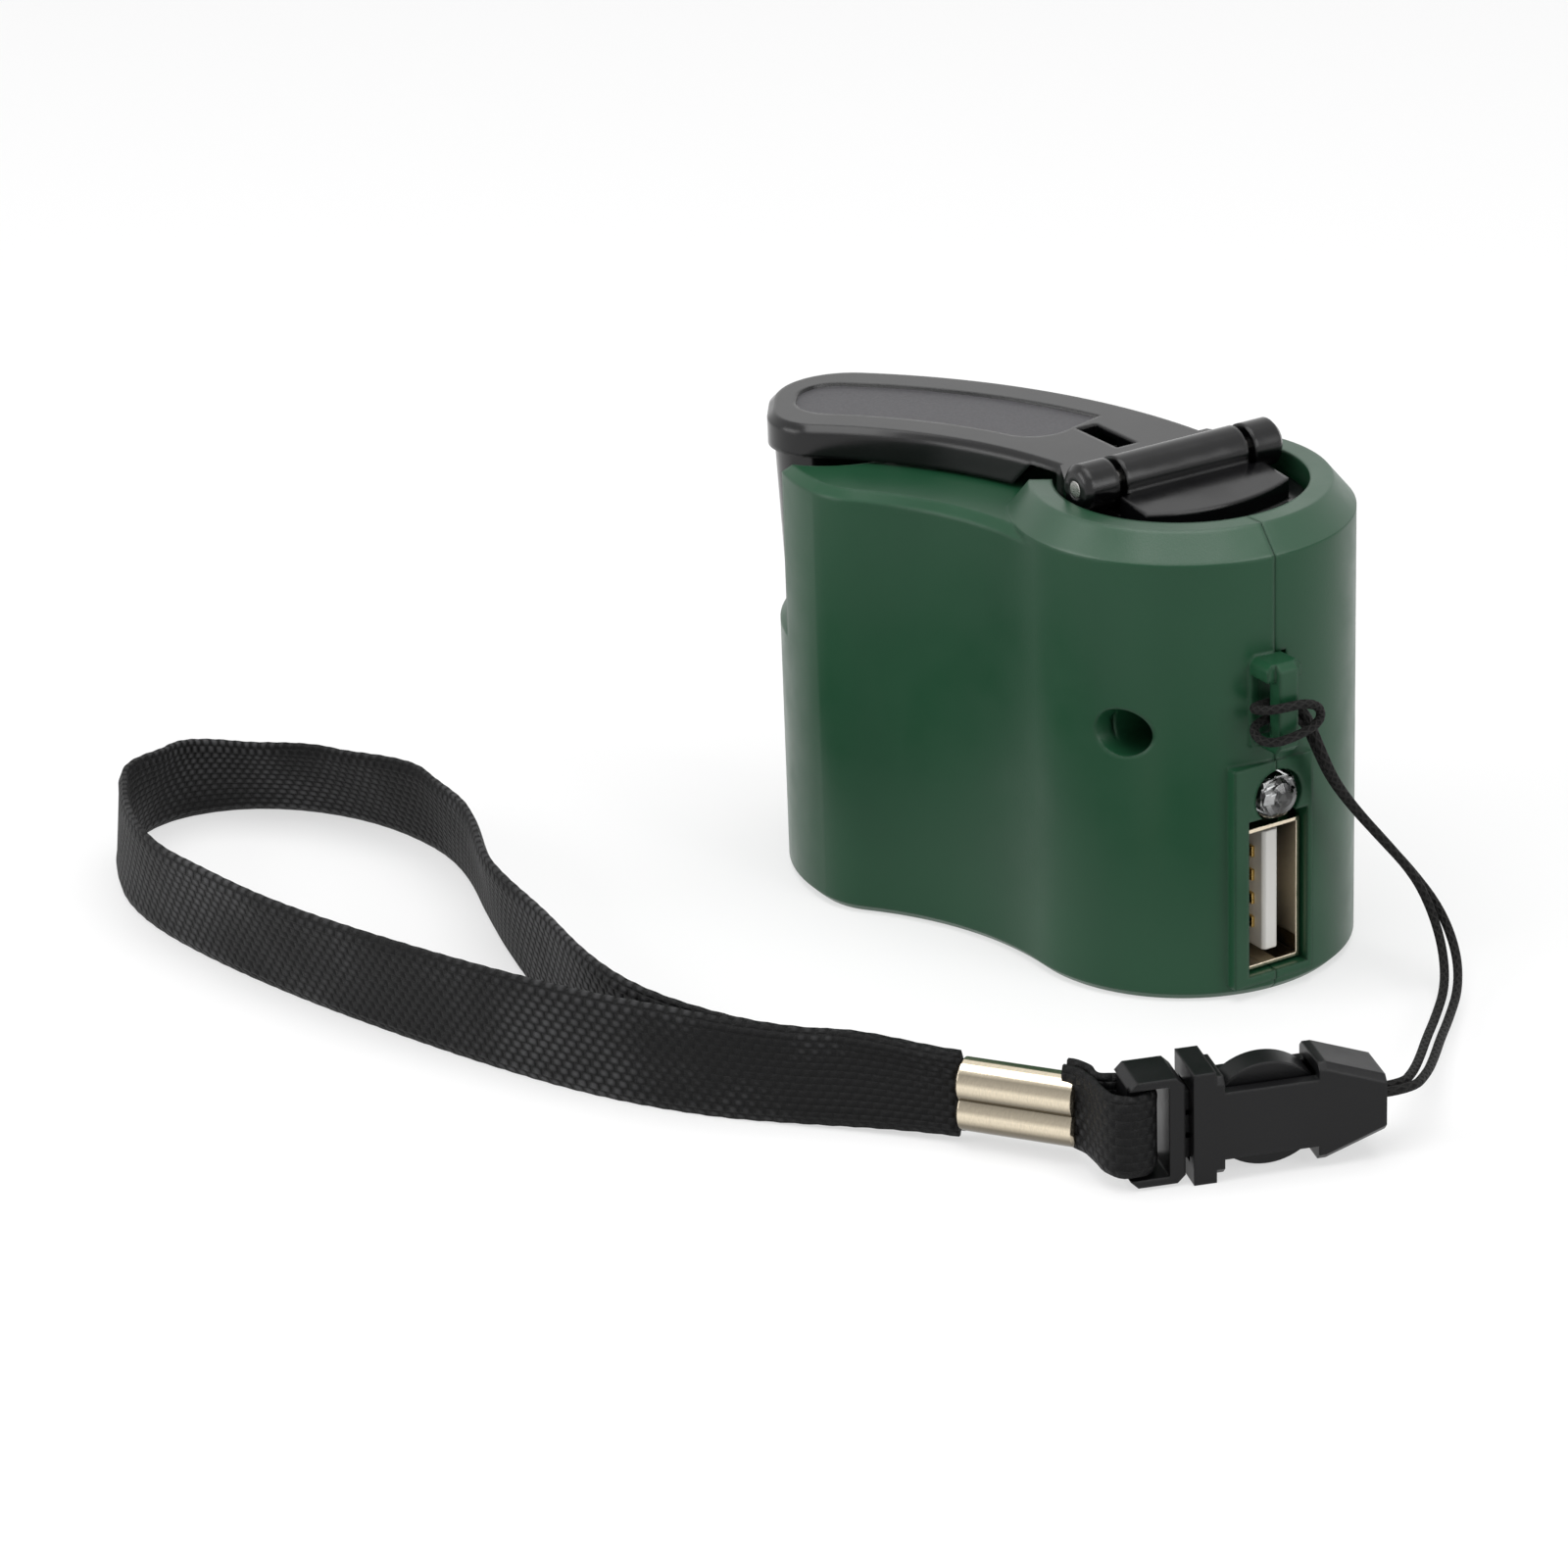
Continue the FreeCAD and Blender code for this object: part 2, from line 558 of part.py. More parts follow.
def case_core():
    """The hollow inside: the bean less its wall, the knob recess and the gear plate's shelf."""
    body = new_body("case_core")
    plan = sketch_on(body, "core_plan", "XY_Plane", wall.ref)
    draw_edges(plan, case_outline(wall))
    roof = f"{hub_floor.ref} - {floor_thick.ref}"
    pad(body, plan, f"{roof} - {wall.ref}", "core_block")
    keep = sketch_on(body, "core_recess_plan", "XY_Plane", f"{recess_floor.ref} - {recess_wall.ref}")
    draw_circle(keep, knob_place, recess_radius + recess_wall, f"{recess_radius.ref} + {recess_wall.ref}")
    pocket(body, keep, case_height.ref, "core_recess", True)
    way = sketch_on(body, "core_way_plan", "XY_Plane", f"{recess_floor.ref} - {recess_wall.ref}")
    draw_edges(way, way_outline(recess_wall))
    pocket(body, way, case_height.ref, "core_way", True)
    ledge = sketch_on(body, "shelf_plan", "XY_Plane", f"{plate_low.ref} - {shelf_tall.ref}")
    draw_edges(ledge, case_outline(wall / 2))
    draw_edges(ledge, case_outline(wall + shelf))
    pocket(body, ledge, shelf_tall.ref, "core_shelf", True)
    return body


def eyelet():
    """The bridge that the lanyard's string is hitched to."""
    body = new_body("eyelet_form", vec(0, eyelet_y))
    root = big_radius - wall / 2
    face = big_radius + eyelet_out
    side = sketch_on(body, "eyelet_side", "XZ_Plane")
    draw_polygon(side, [vec(root, eyelet_low), vec(face - eyelet_bevel, eyelet_low),
                        vec(face, eyelet_low + eyelet_bevel), vec(face, eyelet_top - eyelet_bevel),
                        vec(face - eyelet_bevel, eyelet_top), vec(root, eyelet_top)])
    pad_both_ways(body, side, f"2 * {eyelet_half.ref}", "eyelet_bridge")
    root_plate = sketch_on(body, "eyelet_root_side", "XZ_Plane")
    draw_box(root_plate, big_radius - wall, eyelet_low, big_radius - seam_gap, eyelet_top)
    pad_both_ways(body, root_plate, f"2 * {eyelet_cap_half.ref}", "eyelet_root")
    cap = sketch_on(body, "eyelet_cap_profile", "XZ_Plane")
    draw_box(cap, root, eyelet_top - eyelet_cap, face - eyelet_bevel, eyelet_top)
    block = pad_both_ways(body, cap, f"2 * {eyelet_cap_half.ref}", "eyelet_block")
    dress(body, "Chamfer", block,
          lambda e: level(e, eyelet_top) and e.BoundBox.XLength > eyelet_out / 2,
          f"{eyelet_cap.ref} / 3", "eyelet_soft")
    gap = sketch_on(body, "eyelet_gap", "XZ_Plane")
    draw_box(gap, big_radius, eyelet_low + eyelet_foot, face - eyelet_bar, eyelet_top - eyelet_cap)
    pocket_both_ways(body, gap, f"4 * {eyelet_cap_half.ref}", "eyelet_hole")
    return body


def usb_frame():
    """The raised frame round the socket's window: a flat pad on the round end."""
    keep = part_box("frame_keep", vec(big_radius / 2, frame_y - frame_half, frame_low),
                    vec(frame_face, frame_y + frame_half, frame_top))
    hide = part_cylinder("frame_inside", f"{big_radius.ref} - {wall.ref} / 2",
                         f"{frame_top.ref}", vec(0, 0, 0))
    return boolean("Cut", "usb_frame_form", keep, hide)


def window():
    """What is cut out for the USB socket and the lamp."""
    body = new_body("window_form", vec(0, front_y))
    start = f"{usb_front.ref} - 3 * {wall.ref}"
    opening = sketch_on(body, "window_plan", "YZ_Plane", start)
    half = usb_width / 2 + window_gap
    draw_box(opening, -half, usb_low - window_gap, half, usb_low + usb_tall + window_rise)
    pad(body, opening, f"2 * {big_radius.ref}", "window_cut")
    lamp_hole = sketch_on(body, "lamp_hole_plan", "YZ_Plane", start)
    draw_circle(lamp_hole, vec(0, lamp_z), lamp_radius + run_fit, f"{lamp_radius.ref} + {run_fit.ref}")
    pad(body, lamp_hole, f"2 * {big_radius.ref}", "lamp_cut")
    return body


def shells():
    """The two shells: one moulding outside, one core inside, parted along the seam."""
    outside = fuse_all("case_solid", [case_lower(), case_upper(), usb_frame()])
    hollow = boolean("Cut", "case_hollow", outside, case_core())
    opened = boolean("Cut", "case_opened", hollow, window())
    neck = part_cylinder("neck_hole", f"{neck_radius.ref} + {run_fit.ref}", case_height.ref,
                         vec(0, 0, hub_floor - 2 * floor_thick))
    opened = boolean("Cut", "case_drilled", opened, neck)
    reach = 4 * big_radius
    gap = seam_gap / 2
    near_keep = part_box("near_keep", vec(-reach, -reach, -1), vec(reach, seam_y - gap, 2 * case_height))
    far_keep = part_box("far_keep", vec(-reach, seam_y + gap, -1), vec(reach, reach, 2 * case_height))
    near = boolean("Common", "near_half", opened, near_keep)
    far = boolean("Common", "far_half", opened, far_keep)
    # screw bosses, kept inside the walls
    depth = math.sqrt(big_radius ** 2 - screw_x ** 2)
    root = depth - wall / 2
    near_boss = part_cylinder("near_boss", boss_radius.ref, f"{root + seam_y - gap}",
                              vec(screw_x, -root, screw_z), ALONG_Y)
    far_boss = part_cylinder("far_boss", boss_radius.ref, f"{root - seam_y - gap}",
                             vec(screw_x, seam_y + gap, screw_z), ALONG_Y)
    inside = part_cylinder("boss_keep", f"{big_radius.ref} - {wall.ref} / 3", case_height.ref,
                           vec(0, 0, 0))
    near_boss = boolean("Common", "near_boss_trim", near_boss, inside)
    far_boss = boolean("Common", "far_boss_trim", far_boss, inside)
    near = fuse_all("near_bossed", [near, near_boss, eyelet()])
    far = fuse_all("far_bossed", [far, far_boss])
    notch = part_box("eyelet_notch", vec(big_radius - 2 * wall, seam_y - wall, eyelet_low - seam_gap),
                     vec(2 * big_radius, eyelet_y + eyelet_cap_half + seam_gap, eyelet_top + seam_gap))
    sink = part_cylinder("screw_sink_hole", screw_sink.ref, f"{2 * big_radius + screw_seat}",
                         vec(screw_x, -2 * big_radius, screw_z), ALONG_Y)
    through = part_cylinder("screw_way", f"{screw_thread.ref} + {run_fit.ref}", f"{-screw_seat + 1}",
                            vec(screw_x, screw_seat - 1, screw_z), ALONG_Y)
    axle = part_cylinder("axle_socket", axle_radius.ref, f"{floor_thick.ref}",
                         idler_place + vec(0, 0, hub_floor - floor_thick - 0.1))
    near = boolean("Cut", "near_sunk", near, fuse_all("near_holes", [sink, through, axle]))
    near.Label = "shell_near"
    pilot = part_cylinder("screw_pilot", screw_thread.ref, f"{depth - wall - seam_y}",
                          vec(screw_x, seam_y, screw_z), ALONG_Y)
    far = boolean("Cut", "far_piloted", far, fuse_all("far_holes", [pilot, notch]))
    far.Label = "shell_far"
    return near, far


def case_screw():
    body = new_body("case_screw", vec(screw_x, screw_seat, screw_z), Rotation(UP, ALONG_Y))
    profile = sketch_on(body, "screw_profile", "XZ_Plane")
    head = screw_head * 0.7
    reach = math.sqrt(big_radius ** 2 - screw_x ** 2) - wall - 1.5 - screw_seat
    draw_polygon(profile, [vec(0, -head), vec(screw_head * 0.7, -head), vec(screw_head, -head / 2),
                           vec(screw_head, 0), vec(screw_thread, 0), vec(screw_thread, reach - 1),
                           vec(0, reach)])
    turned = turn_about(body, "Revolution", profile, "V_Axis", "screw_turned")
    cross = sketch_on(body, "screw_cross", "XY_Plane", f"-0.7 * {screw_head.ref}")
    arm, half = screw_head * 0.55, screw_head * 0.12
    draw_polygon(cross, [vec(-half, -arm), vec(half, -arm), vec(half, -half), vec(arm, -half),
                         vec(arm, half), vec(half, half), vec(half, arm), vec(-half, arm),
                         vec(-half, half), vec(-arm, half), vec(-arm, -half), vec(-half, -half)])
    pocket(body, cross, f"{screw_head.ref} * 0.4", "screw_recess", True)
    return turned


# ---------------------------------------------------------------- crank
def hub():
    """Disc in the bore, raised deck, hinge barrel, neck and driving shaft."""
    body = new_body("hub")
    disc = sketch_on(body, "disc_plan", "XY_Plane", disc_bottom.ref)
    draw_circle(disc, vec(0, 0), collar_bore - hub_gap, f"{collar_bore.ref} - {hub_gap.ref}")
    pad(body, disc, f"{disc_top.ref} - {disc_bottom.ref}", "disc")
    deck = sketch_on(body, "deck_plan", "XY_Plane", disc_bottom.ref)
    back = hinge_x - hinge_radius * 0.6
    step = hinge_x + hinge_radius + ear_gap / 2
    bow = vec(deck_front - deck_arc, 0)
    corner_x = bow.x + math.sqrt(deck_arc ** 2 - deck_half ** 2)
    upper = vec(corner_x, deck_half)
    lower = vec(corner_x, -deck_half)
    corners = [upper, vec(step, deck_half), vec(step, barrel_half), vec(back, barrel_half),
               vec(back, -barrel_half), vec(step, -barrel_half), vec(step, -deck_half), lower]
    for first, second in zip(corners, corners[1:]):
        deck.addGeometry(Part.LineSegment(first, second), False)
    deck.addGeometry(arc_between(bow, lower, upper), False)
    pad(body, deck, f"{hinge_z.ref} - {disc_bottom.ref}", "deck")
    slope = sketch_on(body, "deck_slope_side", "XZ_Plane")
    steep = deck_fall / (deck_front - hinge_x)
    end = 2 * deck_front
    high = hinge_z - deck_sink
    over = hinge_z + hinge_radius
    draw_polygon(slope, [vec(hinge_x, high), vec(end, high - steep * (end - hinge_x)),
                         vec(end, over), vec(hinge_x, over)])
    pocket_both_ways(body, slope, f"4 * {deck_half.ref}", "deck_slope")
    barrel = sketch_on(body, "barrel_end", "XZ_Plane")
    draw_circle(barrel, vec(hinge_x, hinge_z), hinge_radius)
    pad_both_ways(body, barrel, f"2 * {barrel_half.ref}", "barrel")
    pin_way = sketch_on(body, "pin_way_end", "XZ_Plane")
    draw_circle(pin_way, vec(hinge_x, hinge_z), pin_radius + run_fit, f"{pin_radius.ref} + {run_fit.ref}")
    pocket_both_ways(body, pin_way, f"4 * {barrel_half.ref}", "pin_way")
    neck = sketch_on(body, "neck_plan", "XY_Plane", disc_bottom.ref)
    draw_circle(neck, vec(0, 0), neck_radius)
    pad(body, neck, f"{disc_bottom.ref} - {hub_floor.ref} + {floor_thick.ref}", "neck", True)
    shaft = sketch_on(body, "shaft_plan", "XY_Plane", disc_bottom.ref)
    draw_flatted_round(shaft, drive_radius, drive_flat)
    pad(body, shaft, f"{disc_bottom.ref} - {drive_gear_low.ref}", "shaft", True)
    tapped = sketch_on(body, "tapped_plan", "XY_Plane", drive_gear_low.ref)
    draw_circle(tapped, vec(0, 0), screw_thread)
    pocket(body, tapped, f"{disc_bottom.ref} - {drive_gear_low.ref}", "tapped_hole", True)
    return body


def draw_flatted_round(drawing, radius, flat):
    """A circle with one flat towards +Y."""
    half = math.sqrt(radius ** 2 - flat ** 2)
    left, right = vec(-half, flat), vec(half, flat)
    drawing.addGeometry(Part.LineSegment(right, left), False)
    drawing.addGeometry(arc_between(vec(0, 0), left, right), False)


def crank_arm():
    """The curved folding arm with its hinge ears, hollow underside and sunk panel."""
    body = new_body("crank_arm")
    start = math.degrees(math.asin((-hinge_x + hinge_radius + ear_gap / 2 + waist_x) / arm_radius))
    plan = sketch_on(body, "arm_plan", "XY_Plane", arm_bottom.ref)
    draw_edges(plan, band_outline(arm_inner, arm_outer, start, arm_tip_angle,
                                  arm_inner_corner, arm_corner))
    plate = pad(body, plan, f"{arm_top.ref} - {arm_bottom.ref}", "arm_plate")
    dress(body, "Chamfer", plate,
          lambda e: level(e, arm_top) and e.Length > arm_edge and e.BoundBox.XMin < -arm_half,
          arm_edge.ref, "arm_soft_edge")
    # cheeks that widen the plate out to the ears, and the ears themselves
    inner = barrel_half + ear_gap
    root = hinge_x - hinge_radius - arm_half / 2
    for side, sign in (("near", -1), ("far", 1)):
        cheek = sketch_on(body, f"cheek_{side}_plan", "XY_Plane",
                          f"{hinge_z.ref} - {hinge_radius.ref}")
        draw_polygon(cheek, [vec(root, sign * (arm_half - arm_wall)), vec(root, sign * arm_half),
                             vec(hinge_x - hinge_radius, sign * (ear_outer - ear_chamfer)),
                             vec(hinge_x, sign * (ear_outer - ear_chamfer)),
                             vec(hinge_x, sign * inner),
                             vec(hinge_x - hinge_radius - ear_gap / 2, sign * inner)])
        pad(body, cheek, f"{arm_top.ref} - {hinge_z.ref} + {hinge_radius.ref}", f"cheek_{side}")
        ear = sketch_on(body, f"ear_{side}_profile", "XY_Plane", hinge_z.ref)
        ear.setExpression("AttachmentOffset.Base.x", hinge_x.ref)
        draw_polygon(ear, [vec(0, sign * inner), vec(hinge_radius, sign * inner),
                           vec(hinge_radius, sign * (ear_outer - ear_chamfer)),
                           vec(hinge_radius - ear_chamfer, sign * ear_outer),
                           vec(0, sign * ear_outer)])
        turn_about(body, "Revolution", ear, "V_Axis", f"ear_{side}")
    pin_way = sketch_on(body, "arm_pin_end", "XZ_Plane")
    draw_circle(pin_way, vec(hinge_x, hinge_z), pin_radius)
    pocket_both_ways(body, pin_way, f"4 * {ear_outer.ref}", "arm_pin_way")
    # relief so that the arm swings over the collar, and clear of the hub disc
    relief = sketch_on(body, "relief_profile", "XZ_Plane")
    air = 2 * collar_clear
    over = collar_top + collar_clear
    draw_polygon(relief, [vec(collar_bore - air, arm_bottom - 1), vec(collar_bore - air, over),
                          vec(collar_land + air, over), vec(big_radius + air, case_height + air),
                          vec(big_radius + air, arm_bottom - 1)])
    turn_about(body, "Groove", relief, "V_Axis", "collar_relief")
    under = sketch_on(body, "hub_relief_plan", "XY_Plane", f"{disc_top.ref} + 2 * {collar_clear.ref}")
    draw_circle(under, vec(0, 0), collar_bore, f"{collar_bore.ref}")
    pocket(body, under, f"{arm_lift.ref} + {wall.ref}", "hub_relief")
    # hollow underside: cells between ribs
    cells = 2
    span = (knob_angle - cell_stop - cell_start) / cells
    rib = math.degrees(arm_wall / arm_radius)
    for index in range(cells):
        cell = sketch_on(body, f"cell_{index}_plan", "XY_Plane", arm_bottom.ref)
        low = cell_start + index * span
        draw_edges(cell, sector(arm_inner + arm_wall, arm_outer - arm_wall, low, low + span - rib))
        pocket(body, cell, f"{arm_top.ref} - {arm_skin.ref} - {arm_bottom.ref}",
               f"cell_{index}", True)
    slot = sketch_on(body, "slot_plan", "XY_Plane", arm_top.ref)
    draw_box(slot, slot_end, slot_near, slot_start, slot_far)
    pocket(body, slot, f"2 * {arm_top.ref} - 2 * {arm_bottom.ref}", "arm_slot")
    panel = sketch_on(body, "panel_plan", "XY_Plane", arm_top.ref)
    panel_end = arm_tip_angle - math.degrees(panel_tip / arm_radius)
    draw_edges(panel, band_outline(arm_inner + panel_inset, arm_outer - panel_inset,
                                   panel_start, panel_end, panel_corner, panel_corner, panel_heel))
    pocket(body, panel, panel_depth.ref, "arm_panel")
    socket = sketch_on(body, "rivet_socket_plan", "XY_Plane", arm_bottom.ref)
    draw_circle(socket, knob_place, rivet_radius)
    pocket(body, socket, f"{arm_top.ref} - {arm_skin.ref} - {arm_bottom.ref}", "rivet_socket", True)
    return body


def sector(inner, outer, start, end):
    """A plain curved cell about the arm's centre."""
    corners = [arc_centre + polar(radius, 90 + turn)
               for radius, turn in ((inner, start), (inner, end), (outer, end), (outer, start))]
    return [
        arc_between(arc_centre, corners[0], corners[1]),
        Part.LineSegment(corners[1], corners[2]),
        arc_between(arc_centre, corners[3], corners[2]),
        Part.LineSegment(corners[3], corners[0]),
    ]


def hinge_pin():
    body = new_body("hinge_pin", vec(hinge_x, -ear_outer, hinge_z), Rotation(UP, ALONG_Y))
    end = sketch_on(body, "hinge_pin_end")
    draw_circle(end, vec(0, 0), pin_radius)
    return pad(body, end, f"2 * {ear_outer.ref}", "hinge_pin_round")


def knob():
    """The tapered grip, bored for its rivet."""
    body = new_body("knob", knob_place)
    profile = sketch_on(body, "knob_profile", "XZ_Plane")
    top = arm_bottom - knob_gap
    bore = rivet_radius + run_fit
    cup = rivet_head + 3 * run_fit
    soft = knob_low_radius / 5
    draw_polygon(profile, [vec(bore, top), vec(bore, knob_low + rivet_sink),
                           vec(cup, knob_low + rivet_sink), vec(cup, knob_low),
                           vec(knob_low_radius - soft, knob_low),
                           vec(knob_low_radius, knob_low + soft), vec(knob_top_radius, top)])
    turned = turn_about(body, "Revolution", profile, "V_Axis", "knob_turned")
    return turned


def knob_rivet():
    body = new_body("knob_rivet", knob_place)
    profile = sketch_on(body, "rivet_profile", "XZ_Plane")
    seat = knob_low + rivet_sink - run_fit
    top = arm_top - arm_skin
    edge = rivet_sink * 0.5
    draw_polygon(profile, [vec(0, top), vec(rivet_radius, top), vec(rivet_radius, seat),
                           vec(rivet_head, seat), vec(rivet_head, seat - edge / 2),
                           vec(rivet_head * 0.7, seat - edge), vec(0, seat - edge)])
    return turn_about(body, "Revolution", profile, "V_Axis", "rivet_turned")


# ---------------------------------------------------------------- gears
idler_distance = gear_module * (drive_teeth + idler_pinion_teeth) / 2
rotor_distance = gear_module * (idler_teeth + rotor_teeth) / 2
idler_place = polar(idler_distance, idler_bearing)
rotor_place = idler_place + polar(rotor_distance, rotor_bearing)


def gear_points(teeth, phase):
    """Corners of a spur gear, one tooth centred on the phase, degrees."""
    pitch = gear_module * teeth / 2
    root = pitch - 1.3 * gear_module
    tip = pitch + 0.8 * gear_module
    pressure = math.radians(20)
    base = pitch * math.cos(pressure)
    slack = 0.12 * math.pi * gear_module

    def half_angle(radius):
        """Half the tooth's angle at a radius, along its involute."""
        at_pitch = (math.pi * gear_module / 2 - slack) / (2 * pitch)
        reach = max(radius, base)
        lean = math.acos(base / reach)
        rest = math.tan(pressure) - pressure - (math.tan(lean) - lean)
        return at_pitch + rest

    heights = (root, pitch, tip)
    points = []
    for index in range(int(teeth)):
        middle = math.radians(phase) + 2 * math.pi * index / teeth
        flank = [(radius, half_angle(radius)) for radius in heights]
        for radius, half in flank:
            points.append(polar(radius, math.degrees(middle - half)))
        for radius, half in reversed(flank):
            points.append(polar(radius, math.degrees(middle + half)))
    return points


def gear_pad(body, name, teeth, phase, low, width):
    """One row of teeth as a Pad on its own sketch."""
    drawing = sketch_on(body, f"{name}_teeth", "XY_Plane", low)
    draw_polygon(drawing, gear_points(teeth, phase))
    return pad(body, drawing, width, f"{name}_wheel")


def drive_gear():
    """Driven by the hub's flatted shaft, one tooth pointing at the idler."""
    body = new_body("drive_gear")
    gear_pad(body, "drive", drive_teeth, idler_bearing, drive_gear_low.ref, gear_width.ref)
    boss = sketch_on(body, "drive_boss_plan", "XY_Plane", drive_gear_low.ref)
    draw_circle(boss, vec(0, 0), neck_radius + wall, f"{neck_radius.ref} + {wall.ref}")
    pad(body, boss, f"{hub_floor.ref} - {floor_thick.ref} - {drive_gear_low.ref} - {hub_gap.ref}",
        "drive_boss")
    bore = sketch_on(body, "drive_bore_plan", "XY_Plane", drive_gear_low.ref)
    draw_flatted_round(bore, drive_radius, drive_flat)
    pocket(body, bore, case_height.ref, "drive_bore", True)
    return body


def hub_screw():
    """Holds the drive gear up against the hub's shaft."""
    body = new_body("hub_screw")
    profile = sketch_on(body, "hub_screw_profile", "XZ_Plane")
    head = drive_radius * 1.4
    low = drive_gear_low - screw_head / 2
    reach = drive_gear_low + gear_width
    draw_polygon(profile, [vec(0, low), vec(head, low), vec(head, drive_gear_low),
                           vec(screw_thread, drive_gear_low), vec(screw_thread, reach), vec(0, reach)])
    return turn_about(body, "Revolution", profile, "V_Axis", "hub_screw_turned")


def idler_gear():
    """Compound gear: the pinion above meshes with the drive gear, the wheel with the rotor."""
    body = new_body("idler_gear", idler_place)
    gear_pad(body, "idler", idler_teeth, rotor_bearing, idler_low.ref, gear_width.ref)
    gap_phase = idler_bearing + 180 + 180 / idler_pinion_teeth
    top = f"{hub_floor.ref} - {floor_thick.ref} - {hub_gap.ref}"
    gear_pad(body, "idler_pinion", idler_pinion_teeth, gap_phase, idler_low.ref,
             f"{top} - {idler_low.ref}")
    bore = sketch_on(body, "idler_bore_plan", "XY_Plane", plate_low.ref)
    draw_circle(bore, vec(0, 0), axle_radius + run_fit, f"{axle_radius.ref} + {run_fit.ref}")
    pocket(body, bore, case_height.ref, "idler_bore", True)
    return body


def idler_axle():
    body = new_body("idler_axle", idler_place)
    end = sketch_on(body, "idler_axle_end", "XY_Plane", plate_low.ref)
    draw_circle(end, vec(0, 0), axle_radius)
    return pad(body, end, f"{hub_floor.ref} - {plate_low.ref} - 0.6", "idler_axle_round")


def gear_plate():
    """The plate that carries the idler's axle and the generator."""
    body = new_body("gear_plate")
    plan = sketch_on(body, "plate_plan", "XY_Plane", plate_low.ref)
    draw_edges(plan, case_outline(wall + hub_gap))
    pad(body, plan, plate_thick.ref, "plate_block")
    end = sketch_on(body, "plate_end_plan", "XY_Plane", plate_low.ref)
    draw_box(end, plate_end, -2 * big_radius, 2 * big_radius, 2 * big_radius)
    pocket(body, end, f"2 * {plate_thick.ref}", "plate_cut_off", True)
    cuts = (("axle", idler_place, axle_radius, axle_radius.ref),
            ("rotor", rotor_place, axle_radius + run_fit, f"{axle_radius.ref} + {run_fit.ref}"))
    for name, centre, radius, rule in cuts:
        hole = sketch_on(body, f"plate_{name}_plan", "XY_Plane", plate_low.ref)
        draw_circle(hole, centre, radius, rule)
        pocket(body, hole, f"2 * {plate_thick.ref}", f"plate_{name}_hole", True)
    return body


def generator():
    """Can, end cap, winding, and the magnet rotor on its shaft with its pinion."""
    can = new_body("generator_can", rotor_place)
    wall_low = can_low + plate_thick
    profile = sketch_on(can, "can_profile", "XZ_Plane")
    inner = can_radius - can_wall
    bush = axle_radius + run_fit
    top = float(plate_low)
    draw_polygon(profile, [vec(bush, top), vec(can_radius, top), vec(can_radius, wall_low),
                           vec(inner, wall_low), vec(inner, top - can_wall), vec(bush, top - can_wall)])
    turn_about(can, "Revolution", profile, "V_Axis", "can_turned")
    cap = new_body("generator_cap", rotor_place)
    profile = sketch_on(cap, "cap_profile", "XZ_Plane")
    step = can_low + plate_thick
    draw_polygon(profile, [vec(0, can_low), vec(can_radius, can_low), vec(can_radius, step),
                           vec(bush, step), vec(bush, can_low + can_wall), vec(0, can_low + can_wall)])
    turn_about(cap, "Revolution", profile, "V_Axis", "cap_turned")
    coil = new_body("generator_coil", rotor_place)
    profile = sketch_on(coil, "coil_profile", "XZ_Plane")
    start = magnet_radius + coil_gap
    draw_box(profile, start, wall_low, start + coil_thick, top - can_wall)
    turn_about(coil, "Revolution", profile, "V_Axis", "coil_turned")
    magnet = new_body("rotor_magnet", rotor_place)
    profile = sketch_on(magnet, "magnet_profile", "XZ_Plane")
    draw_box(profile, axle_radius, wall_low + coil_gap, magnet_radius, top - can_wall - coil_gap)
    turn_about(magnet, "Revolution", profile, "V_Axis", "magnet_turned")
    shaft = new_body("rotor_shaft", rotor_place)
    end = sketch_on(shaft, "rotor_shaft_end", "XY_Plane", f"{can_low.ref} + {can_wall.ref} + 0.1")
    draw_circle(end, vec(0, 0), axle_radius)
    pad(shaft, end, f"{idler_low.ref} + {gear_width.ref} - {can_low.ref} - {can_wall.ref}",
        "rotor_shaft_round")
    pinion = new_body("rotor_pinion", rotor_place)
    gap_phase = rotor_bearing + 180 + 180 / rotor_teeth
    gear_pad(pinion, "rotor", rotor_teeth, gap_phase, idler_low.ref, gear_width.ref)
    bore = sketch_on(pinion, "rotor_bore_plan", "XY_Plane", idler_low.ref)
    draw_circle(bore, vec(0, 0), axle_radius)
    pocket(pinion, bore, case_height.ref, "rotor_bore", True)


# ---------------------------------------------------------------- electrics
usb_back = usb_front - usb_deep


def usb_shell():
    """The folded steel shell, open in front, with spring windows in both sides."""
    body = new_body("usb_shell", vec(0, front_y))
    end = sketch_on(body, "usb_end", "YZ_Plane", f"{usb_front.ref} - {usb_deep.ref}")
    draw_box(end, -usb_width / 2, usb_low, usb_width / 2, usb_low + usb_tall)
    pad(body, end, usb_deep.ref, "usb_block")
    mouth = sketch_on(body, "usb_mouth", "YZ_Plane", f"{usb_front.ref} - {usb_deep.ref} + {usb_skin.ref}")
    draw_box(mouth, usb_skin - usb_width / 2, usb_low + usb_skin,
             usb_width / 2 - usb_skin, usb_low + usb_tall - usb_skin)
    pocket(body, mouth, usb_deep.ref, "usb_hollow", True)
    springs = sketch_on(body, "usb_springs", "XZ_Plane")
    front = usb_front - spring_set
    for height in (usb_low + usb_tall * 0.27, usb_low + usb_tall * 0.73):
        draw_box(springs, front - spring_length, height - spring_width / 2,
                 front, height + spring_width / 2)
    pocket_both_ways(body, springs, f"2 * {usb_width.ref}", "usb_spring_windows")
    return body


